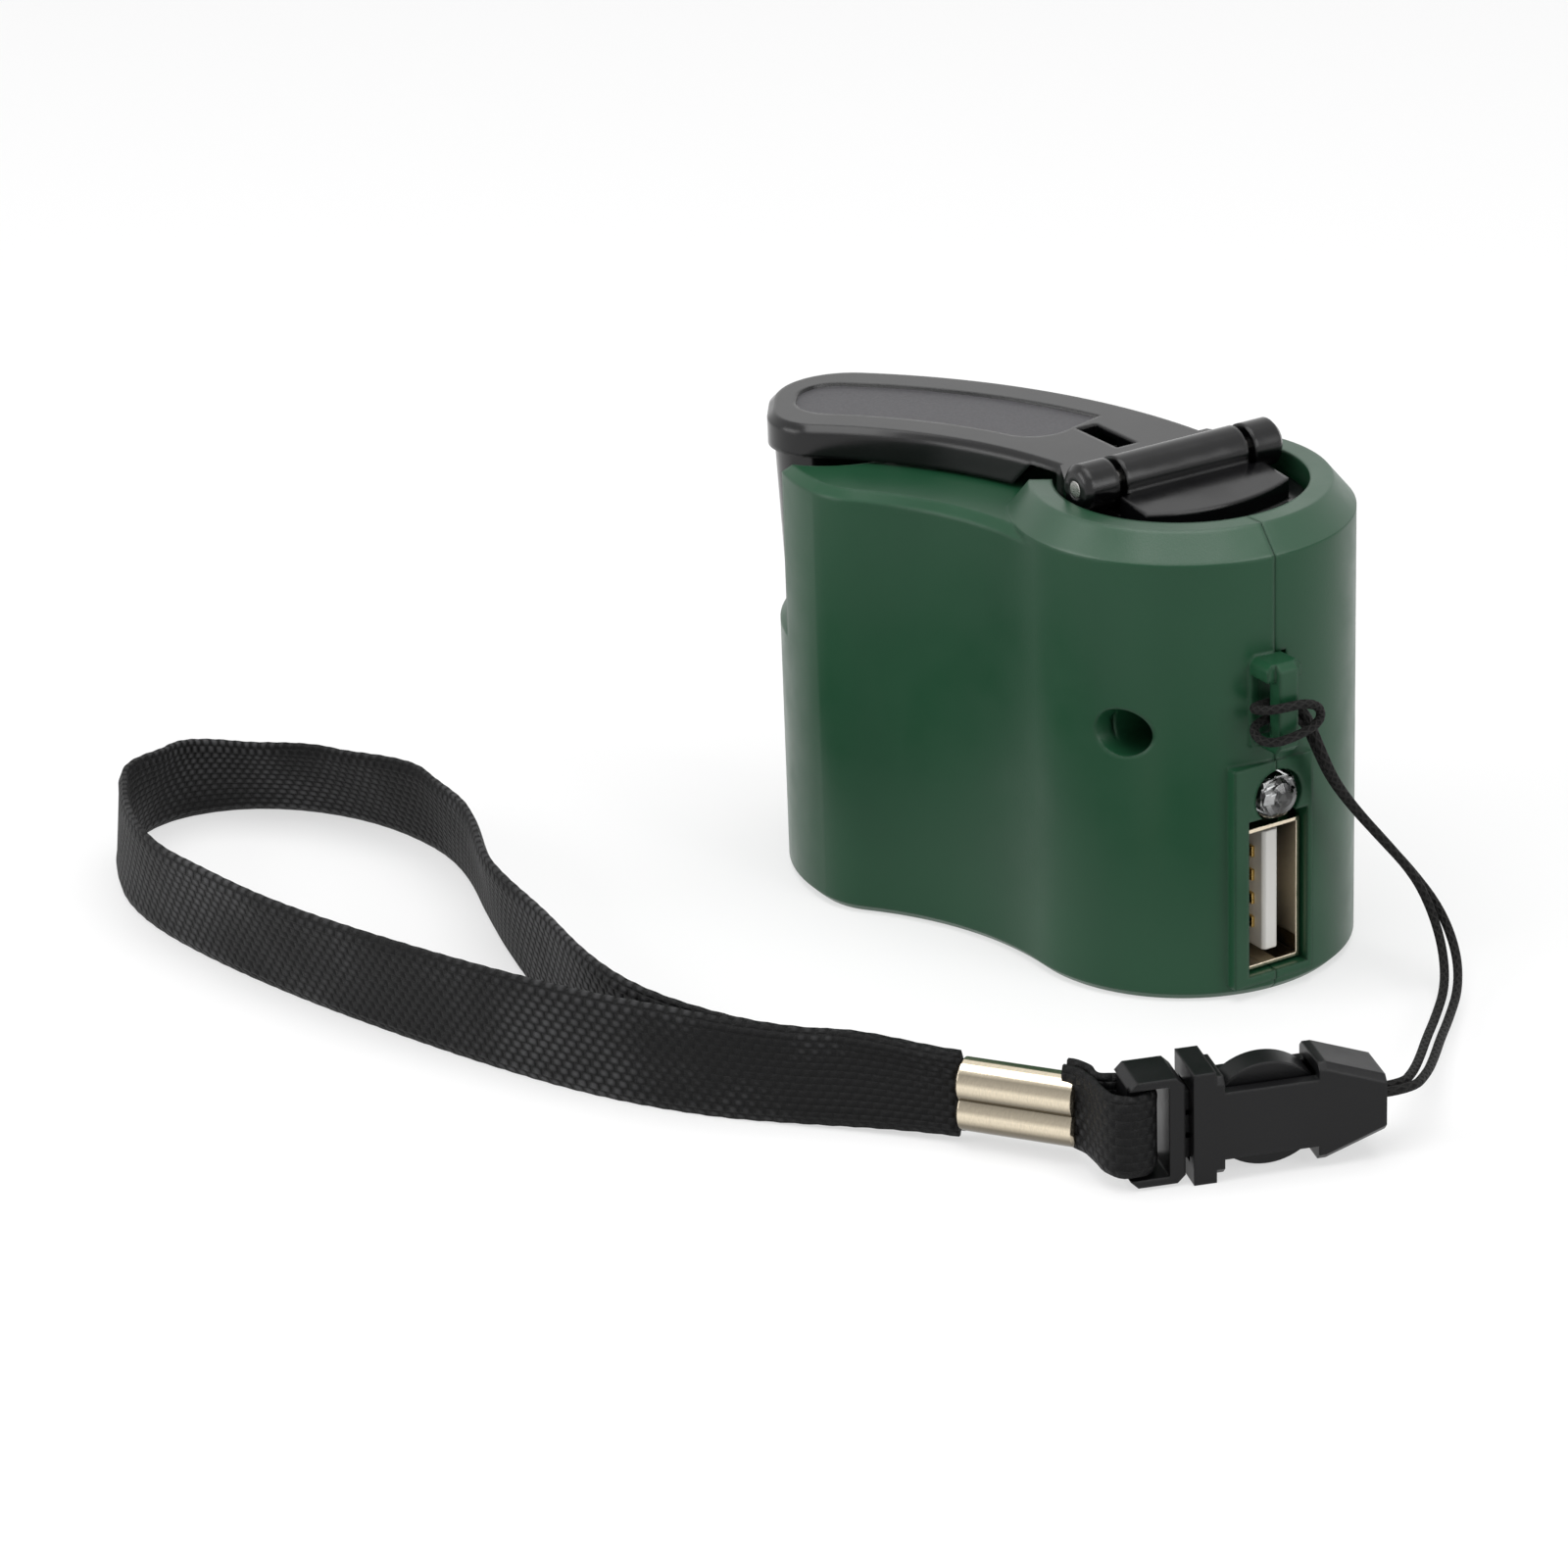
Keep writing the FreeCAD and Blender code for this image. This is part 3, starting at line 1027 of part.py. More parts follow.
def usb_tongue():
    """White insulator: a block at the back and the tongue that carries the contacts."""
    body = new_body("usb_tongue", vec(0, front_y))
    back = usb_back + usb_skin
    middle = usb_low + usb_tall / 2
    end = sketch_on(body, "tongue_block_end", "YZ_Plane",
                    f"{usb_front.ref} - {usb_deep.ref} + {usb_skin.ref}")
    half = usb_width / 2 - usb_skin
    draw_box(end, -half, usb_low + usb_skin, half, usb_low + usb_tall - usb_skin)
    pad(body, end, tongue_root.ref, "tongue_block")
    blade = sketch_on(body, "tongue_end", "YZ_Plane",
                      f"{usb_front.ref} - {usb_deep.ref} + {usb_skin.ref}")
    draw_box(blade, tongue_offset, middle - tongue_tall / 2, tongue_offset + tongue_thick,
             middle + tongue_tall / 2)
    length = usb_front - tongue_set - back
    tongue = pad(body, blade, f"{length}", "tongue_blade")
    dress(body, "Chamfer", tongue, lambda e: abs(e.BoundBox.XMin - usb_front + tongue_set) < 1e-4
          and e.BoundBox.ZLength > tongue_tall / 2, f"{tongue_thick.ref} / 6", "tongue_lead_in")
    return body


def usb_contacts():
    """Four contacts in a row on the tongue's near face, beside the wider slot."""
    face = front_y + tongue_offset
    middle = usb_low + usb_tall / 2
    start = usb_back + usb_skin + tongue_root
    end = usb_front - tongue_set - contact_set
    pieces = []
    for index in range(4):
        low = middle + (index - 1.5) * contact_pitch - contact_width / 2
        pieces.append(part_box(f"contact_{index}", vec(start, face - contact_lift, low),
                               vec(end, face, low + contact_width)))
    made = doc.addObject("Part::Compound", "usb_contacts")
    made.Label = "usb_contacts"
    made.Links = pieces
    return made


def lamp():
    """The clear indicator lamp: a round body with a domed tip, lying along X."""
    body = new_body("lamp", vec(0, front_y, lamp_z))
    profile = sketch_on(body, "lamp_profile", "XY_Plane")
    dome = lamp_tip - lamp_radius
    back = lamp_tip - lamp_length
    steps = 5
    rim = [vec(dome, 0) + polar(lamp_radius, 90 * step / steps) for step in range(steps + 1)]
    draw_polygon(profile, rim + [vec(back, lamp_radius), vec(back, 0)])
    return turn_about(body, "Revolution", profile, "H_Axis", "lamp_turned")


def board():
    """The circuit board beside the socket, with its chip and its capacitor."""
    face = front_y + usb_width / 2
    body = new_body("circuit_board")
    inner_face = f"-({front_y.ref} + {usb_width.ref} / 2)"
    plan = sketch_on(body, "board_side", "XZ_Plane", inner_face)
    draw_box(plan, board_back, wall, board_front, board_top)
    pad(body, plan, board_thick.ref, "board_sheet", True)
    chip = new_body("regulator_chip")
    side = sketch_on(chip, "chip_side", "XZ_Plane", f"{inner_face} - {board_thick.ref}")
    middle = vec((board_back + board_front) / 2, (wall + board_top) / 2)
    draw_box(side, middle.x - chip_length / 2, middle.y - chip_tall / 2,
             middle.x + chip_length / 2, middle.y + chip_tall / 2)
    pad(chip, side, chip_thick.ref, "chip_block", True)
    place = vec(board_back + 1.1 * capacitor_radius, face - capacitor_radius, wall)
    cap = new_body("capacitor", place)
    end = sketch_on(cap, "capacitor_end")
    draw_circle(end, vec(0, 0), capacitor_radius)
    can = pad(cap, end, capacitor_length.ref, "capacitor_can")
    dress(cap, "Chamfer", can, lambda e: level(e, capacitor_length), capacitor_bevel.ref, "capacitor_rim")


# ---------------------------------------------------------------- lanyard
def rounded_route(points, tight=()):
    """Straight runs joined by tangent arcs, and the radii used.

    Each arc takes 0.45 of its shorter run; tight gives other radii by point number."""
    edges = []
    radii = []
    start = points[0]
    for index in range(1, len(points) - 1):
        before, here, after = points[index - 1], points[index], points[index + 1]
        inward = (before - here).normalize()
        outward = (after - here).normalize()
        turn = math.pi - inward.getAngle(outward)
        shorter = min(here.distanceToPoint(before), here.distanceToPoint(after))
        radius = 0.45 * shorter / math.tan(turn / 2)
        radius = min(radius, dict(tight).get(index, radius))
        back = radius * math.tan(turn / 2)
        enter = here + inward * back
        leave = here + outward * back
        centre = here + (inward + outward).normalize() * (radius / math.cos(turn / 2))
        middle = centre + (here - centre).normalize() * radius
        edges.append(Part.LineSegment(start, enter).toShape())
        edges.append(Part.Arc(enter, middle, leave).toShape())
        start = leave
        radii.append(radius)
    edges.append(Part.LineSegment(start, points[-1]).toShape())
    return Part.Wire(edges), radii


def solid_feature(label, shape):
    """A Part::Feature that holds a shape made with Part's own functions."""
    made = doc.addObject("Part::Feature", label)
    made.Label = label
    made.Shape = shape
    made.Placement = Placement(vec(0, 0), Rotation())
    return made


def report_sweep(label, path, solid, section, radii):
    share = solid.Volume / (section * path.Length)
    print(f"{label}: length {path.Length:.1f} mm, volume/section/length {share:.4f}, "
          f"radii {min(radii):.2f} to {max(radii):.2f} mm")


def tube(label, points, diameter, tight=()):
    """A cord along the route, its round section drawn with a few flat sides."""
    path, radii = rounded_route(points, tight)
    sides = 6
    facing = Rotation(UP, points[1] - points[0])
    corners = [points[0] + facing.multVec(polar(diameter / 2, 360 * side / sides)) for side in range(sides)]
    ring = Part.makePolygon(corners + corners[:1])
    solid = path.makePipeShell([ring], True, False)
    area = sides * diameter ** 2 * math.sin(2 * math.pi / sides) / 8
    report_sweep(label, path, solid, area, radii)
    return solid_feature(label, solid)


def ribbon(label, points, thick, low, tall, tight=()):
    """Webbing standing on edge: its centre line in plan, swept with an upright section."""
    points = [point + UP * low for point in points]
    path, radii = rounded_route(points, tight)
    way = (points[1] - points[0]).normalize()
    side = vec(-way.y, way.x) * (thick / 2)
    start = points[0]
    corners = [start - side, start + side, start + side + UP * tall, start - side + UP * tall]
    section = Part.makePolygon(corners + corners[:1])
    solid = path.makePipeShell([section], True, False)
    report_sweep(label, path, solid, thick * tall, radii)
    return solid_feature(label, solid)


buckle_place = vec(36.1, -32.0)
buckle_turn = 71.5
buckle_way = polar(1, buckle_turn)
crimp_place = vec(22.6, -38.4)
crimp_turn = 35.6
crimp_end = crimp_place + polar(crimp_length, crimp_turn)

# The string's route from the buckle up to the eyelet, on the middle of its two strands
STRING_ROUTE = [(42.6, -12.6, 4.9), (43.7, -9.3, 4.8), (41.5, -6.2, 4.3), (38.4, -3.0, 3.6),
                (34.4, 0.8, 2.6), (30.0, 5.2, 1.5), (26.0, 9.4, 1.6), (22.8, 11.7, 3.2),
                (20.4, 12.1, 6.0), (19.2, 10.5, 9.5), (18.6, 7.8, 13.0), (17.9, 5.1, 16.5),
                (17.5, 3.1, 19.5), (17.3, 1.9, 22.2)]

# The webbing's route in plan, from the ferrule round the loop and back to it
STRAP_ROUTE = [(22.9, -38.9), (18.9, -42.1), (12.3, -48.1), (5.6, -53.9), (-2.5, -59.0), (-12.2, -63.1),
               (-22.5, -66.7), (-33.5, -70.1), (-45.0, -72.8), (-55.5, -74.2), (-64.0, -73.2),
               (-70.3, -69.6), (-73.6, -63.8), (-72.8, -57.3), (-68.6, -51.9), (-62.0, -47.9),
               (-53.9, -46.4), (-45.2, -47.4), (-36.3, -50.1), (-27.0, -52.4), (-17.2, -53.9),
               (-8.0, -55.1), (0.5, -54.6), (7.6, -50.7), (13.4, -45.6), (18.4, -41.1), (22.3, -37.9)]


def string():
    """One loop of string: two strands and the lark's head hitch round the eyelet."""
    route = [vec(*point) for point in STRING_ROUTE]
    strands = ([], [])
    for index, point in enumerate(route):
        after = route[min(index + 1, len(route) - 1)]
        before = route[max(index - 1, 0)]
        way = after - before
        side = vec(-way.y, way.x).normalize() * (string_space / 2)
        strands[0].append(point + side)
        strands[1].append(point - side)
    behind = big_radius + (eyelet_out - eyelet_bar) / 2
    front = big_radius + eyelet_out + string_diameter * 0.75
    left = eyelet_y - eyelet_half - string_diameter * 2.3
    right = eyelet_y + eyelet_cap_half + string_diameter
    upper, lower = hitch_upper, hitch_lower
    hitch = [vec(behind + 0.2, right, upper - 0.7), vec(behind, left, upper - 0.5),
             vec(front, left, upper), vec(front, right, upper - 0.2), vec(front + 0.3, right + 0.3, lower),
             vec(front, left, lower - 0.9), vec(behind, left, lower + 0.4),
             vec(behind + 0.2, right, lower + 0.4)]
    points = strands[0] + hitch + list(reversed(strands[1]))
    return tube("lanyard_string", points, string_diameter)


def strap():
    points = [vec(*point) for point in STRAP_ROUTE]
    return ribbon("wrist_strap", points, strap_thick, 0.0, strap_width)


def strap_tab():
    """The short loop of webbing from the ferrule round the buckle's bar."""
    side = polar(1, buckle_turn + 90) * (buckle_thick / 2 - strap_thick / 2 - buckle_wall / 8)
    mouth = polar(1, crimp_turn + 90) * (strap_thick * 0.62)
    inside = crimp_end - polar(tab_insert, crimp_turn)
    outside = crimp_end + polar(tab_insert / 2, crimp_turn)
    before = buckle_place - buckle_way * buckle_bar
    around = buckle_place + buckle_way * (buckle_bar + buckle_slot / 2)
    points = [inside + mouth, outside + mouth, before + side, around + side,
              around - side, before - side, outside - mouth, inside - mouth]
    tight = buckle_slot * 0.6
    low = (buckle_tall - tab_width) / 2
    return ribbon("strap_tab", points, strap_thick, low, tab_width, {3: tight, 4: tight})


def crimp():
    """The double-lobed metal ferrule that clamps the webbing."""
    body = new_body("crimp", crimp_place + vec(0, 0, crimp_low), Rotation(UP, crimp_turn))
    end = sketch_on(body, "crimp_end", "YZ_Plane")
    half = crimp_lobe - crimp_pinch
    rise = math.sqrt(crimp_lobe ** 2 - half ** 2)
    low = vec(0, crimp_lobe)
    high = low + vec(0, 2 * rise)
    pinch_right = vec(half, crimp_lobe + rise)
    pinch_left = vec(-half, crimp_lobe + rise)
    end.addGeometry(arc_between(low, pinch_left, pinch_right), False)
    end.addGeometry(arc_between(high, pinch_right, pinch_left), False)
    tube_body = pad(body, end, crimp_length.ref, "crimp_tube")
    dress(body, "Chamfer", tube_body, lambda e: e.BoundBox.XLength < 1e-4, crimp_bevel.ref, "crimp_edges")


# Stations along the buckle and half heights of its box
flange_back = buckle_frame + buckle_joint
flange_front = flange_back + buckle_flange
taper_start = flange_front + buckle_box
buckle_middle = buckle_tall / 2
box_half = buckle_tall / 2 - buckle_step
chamber_half = buckle_thick / 2 - buckle_wall


def buckle_body(label):
    """A body whose XZ plane is the buckle's wide face, X along it and Z upright."""
    return new_body(label, buckle_place, Rotation(UP, buckle_turn))


def buckle_socket():
    """The female half: flange, waisted box with side windows, and the tapered nose."""
    body = buckle_body("buckle_socket")
    middle = buckle_middle
    face = sketch_on(body, "socket_face", "XZ_Plane")
    draw_polygon(face, [vec(flange_back, 0), vec(flange_front, 0), vec(flange_front, middle - box_half),
                        vec(taper_start, middle - box_half), vec(buckle_length, middle - buckle_nose),
                        vec(buckle_length, middle + buckle_nose), vec(taper_start, middle + box_half),
                        vec(flange_front, middle + box_half), vec(flange_front, buckle_tall),
                        vec(flange_back, buckle_tall)])
    block = pad_both_ways(body, face, buckle_thick.ref, "socket_block")
    dress(body, "Chamfer", block, lambda e: e.BoundBox.YLength < 1e-4
          and e.BoundBox.XMin > flange_front - seam_gap and e.BoundBox.XLength > buckle_wall,
          f"{buckle_wall.ref} * 0.5", "socket_soft")
    chamber = sketch_on(body, "socket_chamber", "XZ_Plane")
    inside = box_half - buckle_wall
    draw_box(chamber, flange_back - buckle_wall, middle - inside, taper_start, middle + inside)
    pocket_both_ways(body, chamber, f"{buckle_thick.ref} - 2 * {buckle_wall.ref}", "socket_hollow")
    windows = sketch_on(body, "socket_windows", "XZ_Plane")
    for sign in (-1, 1):
        edge = middle + sign * (box_half + buckle_wall)
        inner = middle + sign * (box_half - window_depth)
        draw_box(windows, flange_front + window_set, min(edge, inner), taper_start - window_set,
                 max(edge, inner))
    pocket_both_ways(body, windows, f"2 * {buckle_thick.ref}", "socket_side_windows")
    hole = sketch_on(body, "string_hole", "YZ_Plane", f"{taper_start - buckle_wall}")
    tall = string_diameter * 0.7
    draw_box(hole, -string_space, middle - tall, string_space, middle + tall)
    pocket(body, hole, f"{buckle_length.ref}", "string_way", True)
    return body


def buckle_plug():
    """The male half: strap frame with its bar, middle tongue and two levers in the windows."""
    body = buckle_body("buckle_plug")
    middle = buckle_middle
    frame = sketch_on(body, "plug_frame", "XZ_Plane")
    draw_box(frame, 0, prong_gap, buckle_frame, buckle_tall - prong_gap)
    block = pad_both_ways(body, frame, f"{buckle_thick.ref} * 0.85", "plug_block")
    dress(body, "Chamfer", block, lambda e: e.BoundBox.YLength > 1.0,
          f"{buckle_wall.ref} * 0.6", "plug_soft")
    slot = sketch_on(body, "plug_slot", "XZ_Plane")
    draw_box(slot, buckle_bar, buckle_rim, buckle_bar + buckle_slot, buckle_tall - buckle_rim)
    pocket_both_ways(body, slot, f"2 * {buckle_thick.ref}", "plug_strap_slot")
    thin = sketch_on(body, "plug_bar_thin", "XY_Plane", buckle_rim.ref)
    half = buckle_thick / 2 - strap_thick - buckle_wall / 4
    for sign in (-1, 1):
        first, second = sorted((sign * half, sign * buckle_thick))
        draw_box(thin, -buckle_bar, first, buckle_bar + buckle_slot / 2, second)
    pocket(body, thin, f"{buckle_tall.ref} - 2 * {buckle_rim.ref}", "plug_bar", True)
    stem = sketch_on(body, "plug_stem_face", "XZ_Plane")
    deep = f"{2 * (chamber_half - prong_gap)}"
    draw_box(stem, buckle_frame - prong_gap, middle - stem_half, taper_start - buckle_wall, middle + stem_half)
    pad_both_ways(body, stem, deep, "plug_stem")
    for name, sign in (("low", -1), ("high", 1)):
        prong = sketch_on(body, f"prong_{name}_face", "XZ_Plane")
        draw_edges(prong, prong_outline(sign))
        pad_both_ways(body, prong, deep, f"prong_{name}")
    return body


def prong_outline(sign):
    """A lever that bows out into the side window."""
    middle = buckle_middle
    root = buckle_frame - prong_gap
    inside = box_half - buckle_wall - prong_gap
    neck = flange_front + window_set + prong_gap
    tip = taper_start - window_set - prong_gap
    crown = (neck + tip) / 2
    bulge = box_half + prong_bulge
    outer = [vec(root, middle + sign * inside), vec(neck, middle + sign * inside),
             vec(crown, middle + sign * bulge), vec(tip, middle + sign * inside)]
    inner = [vec(tip, middle + sign * (inside - prong_thick)),
             vec(root, middle + sign * (inside - prong_thick))]
    return [Part.LineSegment(outer[0], outer[1]), Part.Arc(outer[1], outer[2], outer[3]),
            Part.LineSegment(outer[3], inner[0]), Part.LineSegment(inner[0], inner[1]),
            Part.LineSegment(inner[1], outer[0])]


# ---------------------------------------------------------------- build and write
shell_near, shell_far = shells()
case_screw()
hub()
crank_arm()
hinge_pin()
knob()
knob_rivet()
drive_gear()
hub_screw()
idler_gear()
idler_axle()
gear_plate()
generator()
usb_shell()
usb_tongue()
usb_contacts()
lamp()
board()
string()
strap()
strap_tab()
crimp()
buckle_socket()
buckle_plug()
doc.recompute()

NODES = ["shell_near", "shell_far", "case_screw", "hub", "crank_arm", "hinge_pin", "knob",
         "knob_rivet", "drive_gear", "hub_screw", "idler_gear", "idler_axle", "gear_plate",
         "generator_can", "generator_cap", "generator_coil", "rotor_magnet", "rotor_shaft",
         "rotor_pinion", "usb_shell", "usb_tongue", "usb_contacts", "lamp", "circuit_board",
         "regulator_chip", "capacitor", "lanyard_string", "wrist_strap", "strap_tab", "crimp",
         "buckle_socket", "buckle_plug"]

failed = [f"{thing.Name}: {thing.State}" for thing in doc.Objects
          if "Invalid" in thing.State or "Error" in thing.State]
if failed:
    raise RuntimeError("features failed: " + "; ".join(failed))
by_label = {thing.Label: thing for thing in doc.Objects}
for node in NODES:
    shape = by_label[node].Shape
    if shape.isNull() or not shape.isValid() or not shape.Solids:
        raise RuntimeError(f"{node}: no valid solid")
    print(f"{node}: {len(shape.Solids)} solid(s), {shape.Volume:.2f} mm3")
for node in NODES:
    by_label[node].Shape.exportStep(f"parts/{node}.step")
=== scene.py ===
import json
import math

import bpy
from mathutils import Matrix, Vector


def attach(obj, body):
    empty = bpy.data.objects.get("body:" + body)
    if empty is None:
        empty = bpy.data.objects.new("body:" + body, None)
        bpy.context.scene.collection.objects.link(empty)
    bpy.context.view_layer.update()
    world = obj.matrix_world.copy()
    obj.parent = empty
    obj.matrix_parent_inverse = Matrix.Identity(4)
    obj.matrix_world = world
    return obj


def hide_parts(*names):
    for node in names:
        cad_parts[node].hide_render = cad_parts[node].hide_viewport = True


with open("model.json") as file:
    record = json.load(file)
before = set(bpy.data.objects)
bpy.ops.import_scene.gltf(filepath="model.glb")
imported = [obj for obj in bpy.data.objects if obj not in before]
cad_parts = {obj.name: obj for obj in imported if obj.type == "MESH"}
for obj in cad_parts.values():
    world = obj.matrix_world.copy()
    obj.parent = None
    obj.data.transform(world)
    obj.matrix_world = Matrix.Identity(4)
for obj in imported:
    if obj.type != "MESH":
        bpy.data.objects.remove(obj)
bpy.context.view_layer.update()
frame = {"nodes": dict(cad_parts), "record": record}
MM = 0.001

# ---------------------------------------------------------------- sizes and routes, in millimetres

# Repeated from the part's source
STRING_DIAMETER, STRING_SPACE = 0.8, 1.15
STRAP_WIDTH, STRAP_THICK, TAB_WIDTH, TAB_INSERT = 10.0, 0.9, 7.2, 1.2
BIG_RADIUS, EYELET_Y, EYELET_OUT, EYELET_BAR = 14.92, -1.8, 2.9, 1.4
EYELET_HALF, EYELET_CAP_HALF, HITCH_UPPER, HITCH_LOWER = 0.95, 1.75, 27.0, 24.6
CRIMP_PLACE, CRIMP_TURN, CRIMP_LENGTH = (22.6, -38.4), 35.6, 10.2
BUCKLE_PLACE, BUCKLE_TURN, BUCKLE_TALL, BUCKLE_THICK = (36.1, -32.0), 71.5, 9.8, 5.2
BUCKLE_BAR, BUCKLE_SLOT, BUCKLE_WALL = 1.5, 1.8, 1.1
LAMP_Y, LAMP_Z = -0.85, 18.3

# How much higher the hitch is drawn here than in the source
HITCH_RISE = 1.0

# Heights at which a material changes: foot of the polished collar, top of the arm and its panel
COLLAR_Z, ARM_TOP_Z, ARM_PANEL_Z = 40.05, 43.2, 42.9

# Middle line of the two strands, from the buckle's nose up to the hitch
STRING_ROUTE = [(42.6, -12.6, 4.9), (43.7, -9.3, 4.8), (41.5, -6.2, 4.3), (38.4, -3.0, 3.6),
                (34.4, 0.8, 2.6), (30.0, 5.2, 1.5), (26.0, 9.4, 1.6), (22.8, 11.7, 3.2),
                (20.4, 12.1, 6.0), (19.2, 10.5, 9.5), (18.6, 7.8, 13.0), (17.9, 5.1, 16.5),
                (17.5, 3.1, 19.5), (17.3, 1.9, 22.2)]

# Lower edge of the loop of webbing on the floor, from the ferrule round to it
STRAP_ROUTE = [(22.9, -38.9), (18.9, -42.1), (12.3, -48.1), (5.6, -53.9), (-2.5, -59.0),
               (-12.2, -63.1), (-22.5, -66.7), (-33.5, -70.1), (-45.0, -72.8), (-55.5, -74.2),
               (-64.0, -73.2), (-70.3, -69.6), (-73.6, -63.8), (-72.8, -57.3), (-68.6, -51.9),
               (-62.0, -47.9), (-53.9, -46.4), (-45.2, -47.4), (-36.3, -50.1), (-27.0, -52.4),
               (-17.2, -53.9), (-8.0, -55.1), (0.5, -54.6), (7.6, -50.7), (13.4, -45.6),
               (18.4, -41.1), (22.3, -37.9)]

# By part of the way along that loop: lean in degrees, drift to the left, share of the width
# that is left where it is gathered, and lift off the floor
STRAP_LEANS = [(0.0, -6), (0.12, 6), (0.3, 12), (0.36, 10), (0.45, -6), (0.49, -21), (0.54, -30),
               (0.58, -27), (0.64, -15), (0.69, -7), (0.73, -11), (0.8, -6), (1.0, -6)]
STRAP_DRIFT = [(0.0, 0), (0.44, 0), (0.51, 2.4), (0.62, 1.6), (0.7, 0.8), (0.8, 0.4), (0.88, 0),
               (1.0, 0)]
STRAP_GATHER = [(0.0, 0.74), (0.05, 0.86), (0.12, 1.0), (0.86, 1.0), (0.95, 0.86), (1.0, 0.74)]
STRAP_LIFT = [(0.0, 0.6), (0.1, 0.0), (0.9, 0.0), (1.0, 0.6)]

# Section of the webbing: columns across its width, the part of the half width from which its
# edges are thicker, how much thicker they are, and the thickness that is left at the very rim
STRIP_COLUMNS = 10
EDGE_FROM, EDGE_BULGE, RIM_BULGE = 0.78, 1.12, 0.45

# The rims wave: part of the whole width beyond which they do, wave length, and height of the wave
RIPPLE_FROM, RIPPLE_LENGTH, STRAP_RIPPLE, TAB_RIPPLE = 0.45, 2.1, 0.04, 0.03

# The tab, as parts of its thickness or of its bulge beside the buckle
TAB_THICK, TAB_MOUTH, TAB_BULGE = 0.8, 0.62, 1.15

# The lamp's two leads: half the thickness, and the outline as X and the height over the lamp's
# axis; their far side stands a little farther along X
LAMP_LEADS = {
    "lamp_anvil": (0.35, [(9.0, -1.1), (12.2, -1.1), (13.6, -0.9), (13.9, -0.2), (13.5, 0.0),
                          (13.9, 0.2), (13.6, 0.5), (12.6, 0.2), (11.6, -0.4), (9.0, -0.4)]),
    "lamp_post": (0.25, [(9.0, 0.6), (12.4, 0.6), (13.2, 0.9), (13.4, 1.2), (12.6, 1.3),
                         (11.8, 1.1), (9.0, 1.1)]),
}
LEAD_LEAN = 0.1

# ---------------------------------------------------------------- shader helpers


def new_material(name):
    """A material with one Principled shader, its tree and that shader."""
    made = bpy.data.materials.new(name)
    made.use_nodes = True
    tree = made.node_tree
    tree.nodes.clear()
    out = tree.nodes.new("ShaderNodeOutputMaterial")
    shader = tree.nodes.new("ShaderNodeBsdfPrincipled")
    tree.links.new(shader.outputs["BSDF"], out.inputs["Surface"])
    return made, tree, shader


def node(tree, kind, **settings):
    made = tree.nodes.new(kind)
    for key, value in settings.items():
        setattr(made, key, value)
    return made


def find_node(tree, kind):
    return next(found for found in tree.nodes if found.type == kind)


def coordinates(tree, kind="Object"):
    return node(tree, "ShaderNodeTexCoord").outputs[kind]


def split(tree, vector):
    """The outputs X, Y and Z of a vector."""
    made = node(tree, "ShaderNodeSeparateXYZ")
    tree.links.new(vector, made.inputs[0])
    return made.outputs


def noise(tree, where, scale, detail=3.0, rough=0.55, stretch=(1, 1, 1)):
    """Noise with the given number of features per metre, stretched along an axis if asked."""
    shift = node(tree, "ShaderNodeMapping")
    shift.inputs["Scale"].default_value = stretch
    tree.links.new(where, shift.inputs["Vector"])
    made = node(tree, "ShaderNodeTexNoise")
    made.inputs["Scale"].default_value = scale
    made.inputs["Detail"].default_value = detail
    made.inputs["Roughness"].default_value = rough
    tree.links.new(shift.outputs["Vector"], made.inputs["Vector"])
    return made.outputs["Fac"]


def ramp(tree, value, low, high, low_at=0.3, high_at=0.7):
    """A ramp between two colours or two greys."""
    made = node(tree, "ShaderNodeValToRGB")
    first, second = made.color_ramp.elements
    first.position, second.position = low_at, high_at
    first.color = low if isinstance(low, tuple) else (low, low, low, 1)
    second.color = high if isinstance(high, tuple) else (high, high, high, 1)
    tree.links.new(value, made.inputs["Fac"])
    return made.outputs["Color"]


def math_node(tree, operation, first, second=None):
    """One step of arithmetic on sockets or numbers."""
    made = node(tree, "ShaderNodeMath", operation=operation)
    for index, value in enumerate((first, second)):
        if value is None:
            continue
        if isinstance(value, (int, float)):
            made.inputs[index].default_value = value
        else:
            tree.links.new(value, made.inputs[index])
    return made.outputs[0]


def scaled(tree, value, factor, offset):
    """value * factor + offset"""
    return math_node(tree, "ADD", math_node(tree, "MULTIPLY", value, factor), offset)


def mix(tree, factor, low, high):
    """Mixes two colours; each is a socket or an RGBA tuple."""
    made = node(tree, "ShaderNodeMix", data_type="RGBA")
    tree.links.new(factor, made.inputs["Factor"])
    for socket, value in ((made.inputs[6], low), (made.inputs[7], high)):
        if isinstance(value, tuple):
            socket.default_value = value
        else:
            tree.links.new(value, socket)
    return made.outputs[2]


def soft_edge(tree, radius):
    """The small round that a moulded edge has, over the given radius in metres."""
    made = node(tree, "ShaderNodeBevel", samples=6)
    made.inputs["Radius"].default_value = radius
    return made.outputs["Normal"]


def bump(tree, shader, height, distance, after=None):
    """Relief of the given depth in metres, on top of the normal given as after."""
    made = node(tree, "ShaderNodeBump")
    made.inputs["Strength"].default_value = 1.0
    made.inputs["Distance"].default_value = distance
    tree.links.new(height, made.inputs["Height"])
    if after is not None:
        tree.links.new(after, made.inputs["Normal"])
    tree.links.new(made.outputs["Normal"], shader.inputs["Normal"])
    return made.outputs["Normal"]


def rgb(red, green, blue):
    return (red, green, blue, 1.0)


# ---------------------------------------------------------------- materials

# How dark a drawn mark on metal is, beside the metal
MARK_SHADE = 0.82

